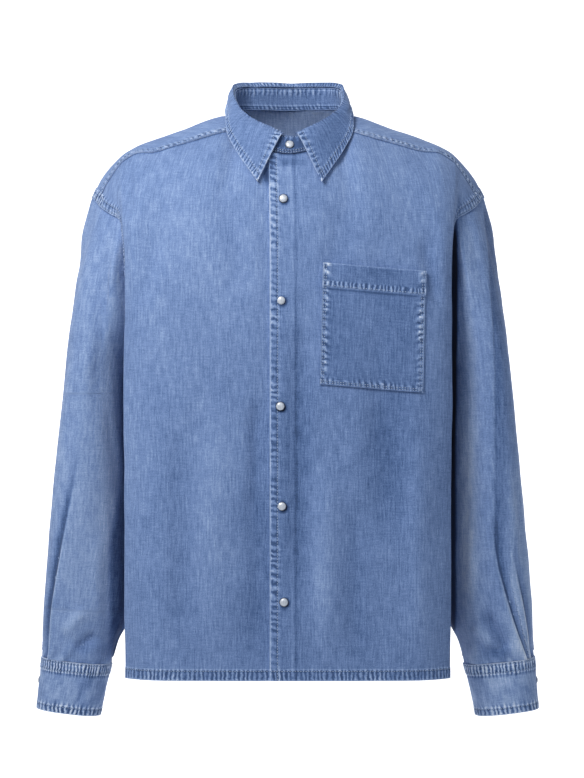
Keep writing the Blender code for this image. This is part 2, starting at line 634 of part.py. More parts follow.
# ---- what lies on a panel ---------------------------------------------------------------
def lying_on(grid, x, z):
    """Points of a front's outer face at given x and z, and the face's normals there."""
    reach = np.argmax(grid[0, :, 0] > SIDE_X) + 1

    def point(x, z):
        x, z = np.broadcast_arrays(x, z)
        found = np.empty(x.shape + (3,))
        for index in np.ndindex(x.shape):
            depth = [np.interp(x[index], row[:reach, 0], row[:reach, 1]) for row in grid]
            height = [np.interp(x[index], row[:reach, 0], row[:reach, 2]) for row in grid]
            found[index] = x[index], np.interp(z[index], height, depth), z[index]
        return found

    step = 0.006
    across = point(x + step, z) - point(x - step, z)
    up = point(x, z + step) - point(x, z - step)
    return point(x, z), unit(np.cross(across, up))


def pocket_places(rows, cols):
    """x and z of a grid over the pocket, bottom row first."""
    across = np.linspace(-0.5, 0.5, cols)[None, :] * POCKET_WIDTH
    up = (np.asarray(rows)[:, None] - 0.5) * POCKET_HEIGHT
    return (POCKET_CENTRE[0] + across * math.cos(POCKET_TURN) - up * math.sin(POCKET_LEAN),
            POCKET_CENTRE[1] + across * math.sin(POCKET_TURN) + up * math.cos(POCKET_LEAN))


def add_patch(name, base, normals, gap, thickness, material):
    """A layer of cloth lying on a panel: its points moved out by the gap and the thickness."""
    under = base + normals * gap
    add_object(name, wall_mesh(name, under + normals * thickness, under, False), material)


def build_pocket(front, material):
    """Patch pocket lying on the upper front, its folded top hem twice as thick."""
    band = 1.0 - POCKET_BAND / POCKET_HEIGHT
    rows = (0.0, 0.14, 0.28, 0.42, 0.56, 0.68, band - 0.006, band, 0.90, 1.0)
    base, normals = lying_on(front, *pocket_places(rows, POCKET_COLUMNS))
    thick = np.where(np.asarray(rows) >= band, 2 * WALL, WALL)[:, None, None]
    add_patch("chest_pocket", base, normals, POCKET_GAP, thick, material)


def build_snap(name, centre, normal, material):
    """A domed metal cap with a rolled rim, standing on the cloth."""
    profile = ((0.0, 1.00), (0.42, 0.93), (0.72, 0.72), (0.86, 0.50), (0.95, 0.48),
               (1.00, 0.28), (1.00, 0.0))
    mesh = bmesh.new()
    side = unit(np.cross(normal, (0.0, 0.0, 1.0)))
    up = np.cross(side, normal)
    base = centre + normal * SEAM_GAP
    count = SNAP_SIDES
    rings = []
    for radius, height in profile[1:]:
        ring_verts = []
        for index in range(count):
            angle = 2 * math.pi * index / count
            point = (base + normal * height * SNAP_HEIGHT + SNAP_RADIUS * radius
                     * (math.cos(angle) * side + math.sin(angle) * up))
            ring_verts.append(mesh.verts.new(point))
        rings.append(ring_verts)
    crown = mesh.verts.new(base + normal * SNAP_HEIGHT)
    for index in range(count):
        after = (index + 1) % count
        mesh.faces.new((crown, rings[0][index], rings[0][after]))
        for high, low in zip(rings, rings[1:]):
            mesh.faces.new((high[index], low[index], low[after], high[after]))
    mesh.faces.new(rings[-1])
    bmesh.ops.recalc_face_normals(mesh, faces=mesh.faces[:])
    data = bpy.data.meshes.new(name)
    mesh.to_mesh(data)
    mesh.free()
    add_object(name, data, material)


# ---- collar and cuffs -------------------------------------------------------------------
def stand_stations():
    """Stations of the stand on one side, point for point with the panels at the neck seam."""
    back = 1.0 - (1.0 - YOKE_NECK_STATION) * np.asarray(YOKE_NECK_PLACES[::-1]) / YOKE_NECK_PLACE
    return np.concatenate([front_neck_stations(), [YOKE_NECK_STATION], back])


def stand_grid():
    """Outer face of the stand: round from the lower front's end to the upper front's end."""
    stations = stand_stations()
    rows = np.array([0.0, 0.35, 0.7, 1.0])[:, None, None]
    upper = neck_curve("seam", stations) * (1 - rows) + neck_curve("top", stations) * rows
    lower = upper - sink_depth(upper[0, :, :1]) * face_normals(upper, False)
    grid = np.concatenate([mirrored(lower), upper[:, -2::-1]], axis=1)
    return grid + (shifted(grid) - grid) * rows


def sink_depth(x):
    """How far the lower front lies under the upper one, x measured across from the middle."""
    return LAP * (1.0 - ease((x - FLY_EDGE - 0.001) / UNDERFLY_RAMP))


def leaf_grid():
    """Shown face of the leaf: up from the stand, over its fold and down to its outer edge."""
    top = neck_curve("top", LEAF_START_STATION + (1 - LEAF_START_STATION) * LEAF_STATIONS)
    fold = neck_curve("fold", LEAF_STATIONS)
    edge = neck_curve("edge", LEAF_STATIONS)
    along = np.gradient(fold, axis=0)
    across = unit(np.stack([along[:, 1], -along[:, 0], 0.0 * along[:, 0]], axis=-1))
    rise = fold - top
    fall = unit(edge - fold)
    start = top + unit(rise) * 0.0014 - across * WALL
    inside = top + rise * 0.55 - across * 0.0020
    outside = fold + across * LEAF_ROLL + fall * 0.0035
    middle = outside + (edge - outside) * 0.5 + across * 0.0015
    keys = np.stack([start, inside, fold, outside, middle, edge])
    half = smooth((0.0, 0.10, 0.20, 0.30, 0.65, 1.0), keys,
                  (0.0, 0.10, 0.15, 0.20, 0.25, 0.30, 0.44, 0.58, 0.72, 0.86, 1.0))
    return shifted(np.concatenate([mirrored(half), half[:, -2::-1]], axis=1))


def shifted(points):
    """The front of the collar moved over by COLLAR_SHIFT, its back left where it is."""
    points = points.copy()
    points[..., 0] += COLLAR_SHIFT * ease((0.02 - points[..., 1]) / 0.04)
    return points


def cuff_grid():
    """Outer face of a cuff: a band that runs once round and laps over its own start."""
    turns = np.linspace(CUFF_OPENING - CUFF_LAP, CUFF_OPENING + 360.0, 34)
    levels = np.array([CUFF_SECTIONS["z"][0], -0.722, -0.743, CUFF_SECTIONS["z"][-1]])
    grid = ring(CUFF_SECTIONS, levels, turns)
    centre = grid.mean(axis=1, keepdims=True)
    under = 1.0 - ease((turns - CUFF_OPENING - 4.0) / 26.0)
    outward = unit((grid - centre) * (1.0, 1.0, 0.0))
    return grid - outward * (under * LAP * 1.1)[None, :, None]


def build_placket(side, flip, material):
    """The strip over the sleeve's slit, up from the cuff, laid on the sleeve's points."""
    levels = np.linspace(PLACKET_FOOT_Z, PLACKET_FOOT_Z + PLACKET_LENGTH, 9)
    half_turn = math.degrees(PLACKET_WIDTH / 2 / PLACKET_ARM_RADIUS)
    turns = CUFF_OPENING + np.linspace(-half_turn, half_turn, 5)
    grid = ring(SLEEVE_SECTIONS, levels, turns)
    normals = face_normals(grid, False)
    if flip:
        grid, normals = mirrored(grid), mirrored(normals)
    add_patch("sleeve_placket_" + side, grid, normals, PLACKET_GAP, WALL, material)


def cuff_snap_place():
    """Middle of the cuff's lap, and the way it faces."""
    step = 3.0
    at = CUFF_OPENING - CUFF_LAP / 2
    grid = ring(CUFF_SECTIONS, np.array([-0.736, -0.733, -0.730]), np.array([at - step, at,
                                                                             at + step]))
    return grid[1, 1], face_normals(grid, False)[1, 1]


def collar_snap_place():
    """Middle of the stand's front end, and the way it faces."""
    stations = np.array([-0.02, 0.0, 0.02])
    low, high = neck_curve("seam", stations), neck_curve("top", stations)
    centre = (low[1] + high[1]) / 2 + (COLLAR_SHIFT, 0.0, 0.0)
    return centre, unit(np.cross(low[2] - low[0], high[1] - low[1]))


# ---- materials --------------------------------------------------------------------------
def principled(name, colour, roughness, metallic=0.0):
    material = bpy.data.materials.new(name)
    material.use_nodes = True
    shader = material.node_tree.nodes["Principled BSDF"]
    shader.inputs["Base Color"].default_value = (*colour, 1.0)
    shader.inputs["Roughness"].default_value = roughness
    shader.inputs["Metallic"].default_value = metallic
    return material


DENIM = (0.20, 0.31, 0.56)
SNAP_METAL = (0.62, 0.64, 0.66)


def denim(name):
    return principled(name + "_cloth", DENIM, 0.85)


# ---- the shirt --------------------------------------------------------------------------
def body_pieces():
    upper = front_grid(False)
    lower = front_grid(True)
    lower = lower - sink_depth(lower[..., :1]) * face_normals(lower, False)
    half_back = back_grid()
    back = np.concatenate([mirrored(half_back)[:, :0:-1], half_back], axis=1)
    right_yoke = yoke_grid(False)
    left_yoke = mirrored(yoke_grid(True))
    yoke = np.concatenate([left_yoke[:, :0:-1], right_yoke], axis=1)
    return [
        cloth("front_left", upper),
        cloth("front_right", mirrored(lower), turn_out=-1),
        cloth("back", back, turn_out=-1),
        cloth("yoke", yoke),
        cloth("sleeve_left", sleeve_grid(False, PLEATS_LEFT), closed=True, turn_out=-1),
        cloth("sleeve_right", mirrored(sleeve_grid(True, PLEATS_RIGHT)), closed=True),
    ]


def build_shirt():
    pieces = body_pieces()
    share_normals(pieces)
    for piece in pieces:
        add_cloth(piece, denim(piece["name"]))

    stand = cloth("collar_stand", stand_grid(), turn_out=-1)
    leaf = cloth("collar_leaf", leaf_grid())
    cuff = cuff_grid()
    others = [stand, leaf, cloth("cuff_left", cuff, turn_out=-1),
              cloth("cuff_right", mirrored(cuff))]
    for piece in others:
        piece["normals"] = face_normals(piece["grid"], False) * piece["turn_out"]
        add_cloth(piece, denim(piece["name"]))

    upper_front = pieces[0]["grid"]
    build_pocket(upper_front, denim("chest_pocket"))
    for side, flip in (("left", False), ("right", True)):
        build_placket(side, flip, denim("sleeve_placket_" + side))

    metal = principled("snap_metal", SNAP_METAL, 0.30, 1.0)
    for index, (x, z) in enumerate(SNAP_PLACES):
        centre, normal = lying_on(upper_front, np.array(x), np.array(z))
        build_snap(f"snap_front_{index + 1}", centre, normal, metal)
    build_snap("snap_collar", *collar_snap_place(), metal)
    centre, normal = cuff_snap_place()
    build_snap("snap_cuff_left", centre, normal, metal)
    build_snap("snap_cuff_right", mirrored(centre), mirrored(normal), metal)


def main():
    for item in list(bpy.data.objects):
        bpy.data.objects.remove(item, do_unlink=True)
    build_shirt()


main()
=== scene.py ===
"""The looks of the denim shirt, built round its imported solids.

Each piece of cloth is a fine shell on its solid's form.  Both come from the same section
tables; here the surface also gets its folds, the roped bands along its seams, their
stitches, and the slubby washed denim.  Metres, +Z up, the front faces -Y.
"""
import math
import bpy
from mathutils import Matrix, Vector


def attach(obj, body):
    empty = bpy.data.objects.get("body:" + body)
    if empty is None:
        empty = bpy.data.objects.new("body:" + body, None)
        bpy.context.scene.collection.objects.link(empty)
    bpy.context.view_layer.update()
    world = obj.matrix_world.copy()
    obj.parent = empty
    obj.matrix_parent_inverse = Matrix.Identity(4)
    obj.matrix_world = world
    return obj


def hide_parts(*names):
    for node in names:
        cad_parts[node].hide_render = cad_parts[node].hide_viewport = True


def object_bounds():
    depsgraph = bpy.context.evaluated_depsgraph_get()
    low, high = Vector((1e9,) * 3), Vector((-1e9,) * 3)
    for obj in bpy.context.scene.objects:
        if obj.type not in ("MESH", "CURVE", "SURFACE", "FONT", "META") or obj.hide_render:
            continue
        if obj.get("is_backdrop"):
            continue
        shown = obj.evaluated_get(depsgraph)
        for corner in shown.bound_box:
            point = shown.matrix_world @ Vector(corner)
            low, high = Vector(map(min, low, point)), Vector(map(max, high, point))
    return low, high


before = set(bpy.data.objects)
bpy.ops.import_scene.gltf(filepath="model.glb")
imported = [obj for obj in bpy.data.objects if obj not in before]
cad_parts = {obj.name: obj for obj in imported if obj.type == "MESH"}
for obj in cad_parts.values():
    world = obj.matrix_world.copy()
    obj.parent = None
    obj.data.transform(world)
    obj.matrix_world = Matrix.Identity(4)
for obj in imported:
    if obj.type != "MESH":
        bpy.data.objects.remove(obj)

from types import SimpleNamespace

import bpy
import numpy as np
from mathutils import Vector

CAD_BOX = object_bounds()

# ---- sizes, metres ----------------------------------------------------------------------
WALL = 0.0015                 # cloth thickness
SEAM_GAP = 0.0003             # between neighbours that are sewn together
LAP = WALL + 1.6 * SEAM_GAP   # step from one layer to the layer under it

UNDERARM_Z = -0.325
CHEST_Z = -0.185              # the fronts are level sections up to here
BLADE_Z = -0.200              # and the back up to here
BREAST_X = 0.100              # where a section's breast and side columns are measured
SIDE_X = 0.178
CORNER_RADIUS = 0.010         # fold of the body panels at their outer corners

FLY_EDGE = 0.0222             # each front runs this far past the middle
UNDERFLY_RAMP = 0.020         # width over which the lower front sinks under the upper one
SNAP_RADIUS = 0.0057
SNAP_HEIGHT = 0.0030
SNAP_PLACES = (               # x and z of the front snaps, from the top
    (-0.0056, -0.1184),
    (-0.0082, -0.2452),
    (-0.0093, -0.3759),
    (-0.0074, -0.4994),
    (-0.0048, -0.6178),
)

POCKET_WIDTH = 0.127
POCKET_HEIGHT = 0.150
POCKET_BAND = 0.030           # folded top hem
POCKET_CENTRE = (0.1050, -0.2788)
POCKET_TURN = math.radians(-4.7)        # slope of its top and bottom
POCKET_LEAN = math.radians(-1.3)        # and of its sides
POCKET_GAP = 0.0009

CUFF_OPENING = 205.0          # angle of the cuff's lap round the arm, degrees
CUFF_LAP = 24.0               # how far it laps, degrees
PLACKET_WIDTH = 0.026
PLACKET_LENGTH = 0.135
PLACKET_FOOT_Z = -0.6950
PLACKET_ARM_RADIUS = 0.052    # of the arm under it
PLACKET_GAP = 0.0010


def table(columns, *rows):
    """A table as {column name: array}, one value for each row."""
    return dict(zip(columns.split(), np.array(rows, float).T))


# Half sections of the fronts, from the middle to the fold of the outer corner, and round it
# to the tuck beside the arm.  Above the underarm the tuck on the wearer's right is shallower.
FRONT_SECTIONS = table(
    "z       centre_y breast_y side_y  corner_x corner_y tuck_x  tuck_y  tuck_y_shallow",
    (-0.715, -0.1180, -0.1165, -0.1070, 0.2035, -0.0840, 0.1980, -0.052, -0.052),
    (-0.600, -0.1160, -0.1150, -0.1060, 0.2035, -0.0840, 0.1970, -0.052, -0.052),
    (-0.450, -0.1150, -0.1140, -0.1050, 0.2040, -0.0830, 0.1965, -0.052, -0.053),
    (-0.325, -0.1150, -0.1130, -0.1030, 0.2044, -0.0820, 0.1970, -0.052, -0.056),
    (-0.250, -0.1140, -0.1110, -0.1000, 0.2044, -0.0810, 0.1985, -0.056, -0.067),
    (-0.200, -0.1120, -0.1075, -0.0950, 0.2046, -0.0780, 0.2005, -0.056, -0.068),
    (-0.185, -0.1110, -0.1060, -0.0920, 0.2050, -0.0765, 0.2015, -0.056, -0.067),
)
FRONT_STATIONS = (-0.314, 0.0, 0.314, 0.561, 0.630, 0.680, 0.780, 1.0)

BACK_SECTIONS = table(
    "z       centre_y breast_y side_y corner_x corner_y tuck_x  tuck_y",
    (-0.715, 0.1100, 0.1095, 0.1010, 0.1890, 0.0840, 0.1870, 0.055),
    (-0.600, 0.1110, 0.1100, 0.1010, 0.1870, 0.0850, 0.1840, 0.055),
    (-0.450, 0.1140, 0.1130, 0.1030, 0.1860, 0.0870, 0.1830, 0.056),
    (-0.325, 0.1170, 0.1160, 0.1060, 0.1880, 0.0900, 0.1870, 0.062),
    (-0.260, 0.1180, 0.1170, 0.1080, 0.1930, 0.0970, 0.1955, 0.086),
    (-0.200, 0.1180, 0.1165, 0.1080, 0.1980, 0.1000, 0.2060, 0.094),
)
BACK_STATIONS = (-0.340, 0.0, 0.340, 0.600, 0.680, 0.740, 0.830, 1.0)

SIDE_SEAM = table(
    "z       x      y",
    (-0.715, 0.1860, 0.020),
    (-0.600, 0.1840, 0.020),
    (-0.450, 0.1825, 0.020),
    (-0.370, 0.1840, 0.019),
    (-0.325, 0.1870, 0.018),
)

# The armhole, from the underarm up the front, over the shoulder and down the back.  out_x,
# out_y and out_z give the way the sleeve leaves it, and turn the place on the arm, in degrees
# from the inner side by the front, that this stretch of it runs down to.
ARMHOLE = table(
    "x      y       y_shallow z      out_x  out_y  out_z  turn",
    (0.1870, 0.018, 0.018, -0.3250, 0.50, 0.00, -0.85, 0),
    (0.1920, -0.020, -0.026, -0.3000, 0.55, -0.20, -0.80, 14),
    (0.2005, -0.041, -0.056, -0.2500, 0.58, -0.45, -0.70, 30),
    (0.2060, -0.045, -0.062, -0.2000, 0.50, -0.55, -0.65, 46),
    (0.2078, -0.048, -0.060, -0.1650, 0.42, -0.45, -0.80, 58),
    (0.2105, -0.047, -0.052, -0.1420, 0.30, -0.35, -0.90, 70),
    (0.2240, -0.038, -0.039, -0.1330, 0.22, -0.30, -0.93, 96),
    (0.2360, -0.028, -0.028, -0.1250, 0.25, -0.28, -0.92, 120),
    (0.2425, -0.014, -0.014, -0.1180, 0.30, -0.15, -0.94, 146),
    (0.2510, 0.005, 0.005, -0.1094, 0.33, 0.00, -0.94, 180),
    (0.2485, 0.028, 0.028, -0.1140, 0.30, 0.15, -0.94, 208),
    (0.2390, 0.050, 0.050, -0.1240, 0.25, 0.25, -0.93, 234),
    (0.2260, 0.074, 0.074, -0.1500, 0.25, 0.30, -0.92, 262),
    (0.2130, 0.087, 0.087, -0.1900, 0.35, 0.25, -0.90, 288),
    (0.2010, 0.087, 0.087, -0.2400, 0.50, 0.12, -0.85, 312),
    (0.1910, 0.067, 0.067, -0.2900, 0.55, 0.05, -0.83, 336),
    (0.1870, 0.018, 0.018, -0.3250, 0.50, 0.00, -0.85, 360),
)
ARMHOLE_FRONT_YOKE = 8        # rows of ARMHOLE where the yoke's seams meet it
ARMHOLE_BACK_YOKE = 11

# The neck, from the middle of the front to the middle of the back: the seam of the stand, the
# stand's top edge, the fold of the leaf and the leaf's outer edge.
NECK = table(
    "station seam_x  seam_y   seam_z   top_x   top_y    top_z    fold_x  fold_y   fold_z"
    "   edge_x  edge_y   edge_z",
    (0.00, 0.0000, -0.0800, -0.0604, 0.0000, -0.0680, -0.0375, 0.0080, -0.0690, -0.0328,
     0.0400, -0.0985, -0.0970),
    (0.12, 0.0265, -0.0755, -0.0555, 0.0215, -0.0640, -0.0320, 0.0250, -0.0630, -0.0240,
     0.0545, -0.0845, -0.0755),
    (0.25, 0.0490, -0.0620, -0.0440, 0.0385, -0.0520, -0.0215, 0.0420, -0.0500, -0.0142,
     0.0665, -0.0715, -0.0570),
    (0.38, 0.0635, -0.0430, -0.0295, 0.0525, -0.0335, -0.0080, 0.0575, -0.0310, -0.0005,
     0.0790, -0.0525, -0.0320),
    (0.50, 0.0705, -0.0210, -0.0135, 0.0612, -0.0130, 0.0085, 0.0665, -0.0120, 0.0145,
     0.0812, -0.0200, -0.0080),
    (0.60, 0.0735, 0.0000, -0.0045, 0.0640, 0.0030, 0.0205, 0.0685, 0.0040, 0.0265,
     0.0808, 0.0100, -0.0010),
    (0.72, 0.0680, 0.0240, 0.0045, 0.0610, 0.0225, 0.0315, 0.0665, 0.0240, 0.0382,
     0.0755, 0.0365, 0.0000),
    (0.86, 0.0440, 0.0465, 0.0075, 0.0395, 0.0450, 0.0360, 0.0430, 0.0485, 0.0438,
     0.0475, 0.0610, -0.0015),
    (1.00, 0.0000, 0.0560, 0.0080, 0.0000, 0.0515, 0.0362, 0.0000, 0.0550, 0.0434,
     0.0000, 0.0705, -0.0025),
)
YOKE_NECK_STATION = 0.41      # where the yoke's front seam leaves the neck
COLLAR_SHIFT = 0.0022         # the collar sits this far to the wearer's left

# The yoke over one shoulder, from the middle of the back outwards: its front edge past the
# neck, its crest, the slope behind it and its back seam.
YOKE_NECK_PLACE = 0.48
YOKE_FRONT_SEAM = table(
    "place x     y       z",
    (0.48, 0.0655, -0.0385, -0.0262),
    (0.53, 0.0817, -0.0450, -0.0300),
    (0.65, 0.1200, -0.0440, -0.0405),
    (0.80, 0.1650, -0.0380, -0.0530),
    (0.92, 0.2122, -0.0260, -0.0680),
    (0.96, 0.2300, -0.0195, -0.0930),
    (1.00, 0.2425, -0.0140, -0.1180),
)
YOKE = table(
    "place crest_x crest_y crest_z blade_x blade_y blade_z seam_x seam_y seam_z",
    (0.00, 0.0000, 0.0680, -0.0080, 0.0000, 0.0900, -0.0480, 0.0000, 0.1060, -0.0950),
    (0.14, 0.0470, 0.0600, -0.0080, 0.0500, 0.0865, -0.0480, 0.0500, 0.1055, -0.0955),
    (0.27, 0.0770, 0.0380, -0.0085, 0.0820, 0.0765, -0.0480, 0.0780, 0.1045, -0.0960),
    (0.36, 0.0865, 0.0180, -0.0080, 0.0970, 0.0690, -0.0485, 0.0970, 0.1030, -0.0970),
    (0.48, 0.0945, 0.0040, -0.0085, 0.1090, 0.0630, -0.0490, 0.1110, 0.1015, -0.0980),
    (0.53, 0.1010, 0.0030, -0.0107, 0.1180, 0.0600, -0.0510, 0.1200, 0.1000, -0.0990),
    (0.65, 0.1310, 0.0020, -0.0220, 0.1430, 0.0560, -0.0570, 0.1440, 0.0970, -0.1010),
    (0.80, 0.1700, 0.0020, -0.0355, 0.1760, 0.0510, -0.0655, 0.1770, 0.0900, -0.1055),
    (0.86, 0.1900, 0.0025, -0.0440, 0.1935, 0.0470, -0.0715, 0.1925, 0.0835, -0.1090),
    (0.92, 0.2140, 0.0030, -0.0590, 0.2135, 0.0420, -0.0815, 0.2110, 0.0740, -0.1130),
    (0.96, 0.2360, 0.0040, -0.0830, 0.2340, 0.0350, -0.0995, 0.2270, 0.0620, -0.1185),
    (1.00, 0.2510, 0.0050, -0.1094, 0.2485, 0.0280, -0.1140, 0.2390, 0.0500, -0.1240),
)
YOKE_ROWS = (0.0, 0.38, 0.72, 1.0)      # front edge, crest, slope, back seam

# Which place of the yoke's front edge a column of the front panel runs up to.
FRONT_TO_YOKE = table(
    "station place",
    (0.270, 0.48), (0.330, 0.53), (0.500, 0.65), (0.610, 0.80),
    (0.680, 0.915), (0.780, 0.935), (1.000, 1.00),
)

# The sleeve below the armhole: extent from the inner to the outer side and from the front to
# the back, how far its front leans outward, and the slope of the ring, outer side up.
SLEEVE_SECTIONS = table(
    "z       inner_x outer_x front_y  back_y  lean   slope",
    (-0.360, 0.1915, 0.2836, -0.0620, 0.0980, 0.020, 0.00),
    (-0.450, 0.1925, 0.2936, -0.0570, 0.0940, 0.020, 0.00),
    (-0.540, 0.1950, 0.3030, -0.0500, 0.0880, 0.016, 0.02),
    (-0.600, 0.1990, 0.3082, -0.0450, 0.0820, 0.012, 0.04),
    (-0.655, 0.2095, 0.3134, -0.0400, 0.0740, 0.006, 0.08),
    (-0.672, 0.2185, 0.3143, -0.0380, 0.0690, 0.003, 0.09),
    (-0.687, 0.2232, 0.3150, -0.0360, 0.0600, 0.000, 0.10),
    (-0.701, 0.2262, 0.3151, -0.0320, 0.0460, 0.000, 0.105),
)
SLEEVE_SQUARENESS = 2.35      # 2 is an ellipse, more is a rounder box

CUFF_SECTIONS = table(
    "z       inner_x outer_x front_y  back_y lean   slope",
    (-0.7015, 0.2262, 0.3156, -0.0325, 0.0465, 0.000, 0.105),
    (-0.7400, 0.2345, 0.3195, -0.0320, 0.0450, 0.000, 0.108),
    (-0.7670, 0.2400, 0.3210, -0.0305, 0.0425, 0.000, 0.115),
)

# Pleats that the sleeve is laid in above its cuff: how far out each trough runs at four
# heights, its depth at the cuff, and where it has run out.
PLEAT_HEIGHTS = (-0.480, -0.560, -0.625, -0.701)
PLEATS_LEFT = table(
    "x1     x2     x3     x4     depth  top_z",
    (0.2590, 0.2625, 0.2790, 0.3045, 0.0070, -0.490),
    (0.2760, 0.2840, 0.2975, 0.3120, 0.0060, -0.540),
)
PLEATS_RIGHT = table(
    "x1     x2     x3     x4     depth  top_z",
    (0.2710, 0.2870, 0.2985, 0.3060, 0.0075, -0.450),
)

# Levels of the rows, counted so that neighbours meet point for point.
BODY_LEVELS = (-0.715, -0.650, -0.580, -0.510, -0.440, -0.380, UNDERARM_Z)
FRONT_LEVELS = (-0.290, -0.255, -0.220, CHEST_Z)
BACK_LEVELS = (-0.290, -0.250, BLADE_Z)
FRONT_UPPER_ROWS = 9
BACK_UPPER_ROWS = 4
YOKE_ROW_COUNT = 6
FLY_STATION = FLY_EDGE / BREAST_X * FRONT_STATIONS[2]
FRONT_NECK_STATIONS = (-FLY_STATION, 0.0, FLY_STATION, 0.137, 0.2035)
FRONT_SEAM_STATIONS = (0.270, 0.330, 0.415, 0.500, 0.565, 0.620, 0.655, 0.680, 0.725, 0.780,
                       0.880, 1.000)
YOKE_NECK_PLACES = (0.0, 0.07, 0.14, 0.205, 0.27, 0.32, 0.36, 0.42)
SLEEVE_LEVELS = (-0.400, -0.450, -0.500, -0.540, -0.575, -0.610, -0.635, -0.655, -0.672,
                 -0.687, -0.7010)
SLEEVE_CAP_ROWS = 6
LEAF_STATIONS = np.array([0.0, 0.06, 0.12, 0.20, 0.29, 0.38, 0.46, 0.54, 0.62, 0.70, 0.78, 0.86,
                          0.93, 1.0])
LEAF_START_STATION = 0.035    # the leaf starts this far from the middle of the front
LEAF_ROLL = 0.0034            # from the fold out to the outer ply


# ---- curves -----------------------------------------------------------------------------
def smooth(knots, values, where):
    """Values at `where` on a smooth curve through the rows (cubic, slopes from neighbours)."""
    order = np.argsort(knots)
    knots = np.asarray(knots, float)[order]
    values = np.asarray(values, float)[order]
    where = np.asarray(where, float)
    slopes = np.gradient(values, knots, axis=0)
    seg = np.clip(np.searchsorted(knots, where, side="right") - 1, 0, len(knots) - 2)
    span = knots[seg + 1] - knots[seg]
    t = (where - knots[seg]) / span
    if values.ndim > 1:
        extra = (1,) * (values.ndim - 1)
        t = t.reshape(t.shape + extra)
        span = span.reshape(span.shape + extra)
    return hermite(values[seg], slopes[seg] * span, values[seg + 1], slopes[seg + 1] * span, t)


def hermite(start, start_slope, end, end_slope, t):
    """Cubic from start to end with the given slopes, at t from 0 to 1."""
    return ((2 * t**3 - 3 * t**2 + 1) * start + (t**3 - 2 * t**2 + t) * start_slope
            + (3 * t**2 - 2 * t**3) * end + (t**3 - t**2) * end_slope)


def ease(t):
    """0 to 1 with soft ends."""
    t = np.clip(t, 0.0, 1.0)
    return t * t * (3.0 - 2.0 * t)


def bell(offset, width, power=2):
    """1 at offset 0, falling softly to nothing beyond `width`."""
    return np.exp(-(offset / width) ** power)


def columns(rows, *names):
    return np.stack([rows[name] for name in names], axis=-1)


def curve_keys(rows, name):
    """The x, y and z of one of a table's named curves."""
    return columns(rows, name + "_x", name + "_y", name + "_z")


def unit(vectors):
    return vectors / np.linalg.norm(vectors, axis=-1, keepdims=True)


# ---- seams ------------------------------------------------------------------------------
def armhole_keys(shallow):
    """The armhole's points, and where each lies along it from 0 to 1."""
    points = columns(ARMHOLE, "x", "y_shallow" if shallow else "y", "z")
    steps = np.linalg.norm(np.diff(points, axis=0), axis=1)
    along = np.concatenate([[0.0], np.cumsum(steps)])
    return points, along / along[-1]


def armhole(where, shallow):
    """Points of the armhole, the way the sleeve leaves it there, and the turn on the arm."""
    points, along = armhole_keys(shallow)
    out = smooth(along, curve_keys(ARMHOLE, "out"), where)
    return smooth(along, points, where), unit(out), smooth(along, ARMHOLE["turn"], where)


def armhole_places(shallow):
    """Where the rows of the front, the yoke and the back meet the armhole, in that order."""
    _, along = armhole_keys(shallow)
    front_yoke = along[ARMHOLE_FRONT_YOKE]
    back_yoke = along[ARMHOLE_BACK_YOKE]
    dense = np.linspace(0.0, 1.0, 2001)
    height = armhole(dense, shallow)[0][:, 2]
    rising = dense < front_yoke * 0.6
    front_low = np.interp(FRONT_LEVELS, height[rising], dense[rising])
    front_high = np.linspace(front_low[-1], front_yoke, FRONT_UPPER_ROWS + 1)[1:]
    over = np.linspace(front_yoke, back_yoke, YOKE_ROW_COUNT + 1)[1:]
    falling = dense > 0.75
    back_low = np.interp(BACK_LEVELS, height[falling][::-1], dense[falling][::-1])
    back_high = np.linspace(back_yoke, back_low[-1], BACK_UPPER_ROWS + 1)[1:]
    front = np.concatenate([[0.0], front_low, front_high])
    back = np.concatenate([back_high, back_low[:-1][::-1], [1.0]])
    return front, over, back


def neck_curve(name, station):
    """Points of one of the neck's curves; below station 0 it has passed the front's middle."""
    sign = np.where(np.asarray(station) < 0, -1.0, 1.0)
    points = curve_keys(NECK, name)
    if name in ("seam", "top"):
        stations = np.concatenate([-NECK["station"][:0:-1], NECK["station"]])
        both = np.concatenate([mirrored(points[:0:-1]), points])
        return smooth(stations, both, station)
    return smooth(NECK["station"], points, np.abs(station)) * np.stack(
        [sign, np.ones_like(sign), np.ones_like(sign)], axis=-1)


def yoke_front_edge(place):
    """The yoke's front boundary: the neck up to YOKE_NECK_PLACE, then its front seam."""
    place = np.asarray(place, float)
    station = 1.0 - (1.0 - YOKE_NECK_STATION) * np.minimum(place / YOKE_NECK_PLACE, 1.0)
    neck = neck_curve("seam", station)
    keys = columns(YOKE_FRONT_SEAM, "x", "y", "z")
    seam = smooth(YOKE_FRONT_SEAM["place"], keys, np.maximum(place, YOKE_NECK_PLACE))
    miss = neck_curve("seam", YOKE_NECK_STATION) - keys[0]
    seam += miss * (1.0 - ease((place[:, None] - YOKE_NECK_PLACE) / 0.05))
    return np.where(place[:, None] < YOKE_NECK_PLACE, neck, seam)


def front_places():
    """Places on the yoke's front seam where the columns of a front panel arrive."""
    return np.interp(FRONT_SEAM_STATIONS, FRONT_TO_YOKE["station"], FRONT_TO_YOKE["place"])


def front_neck_stations():
    """Stations on the neck where the columns of a front panel arrive."""
    return YOKE_NECK_STATION * np.asarray(FRONT_NECK_STATIONS) / FRONT_SEAM_STATIONS[0]


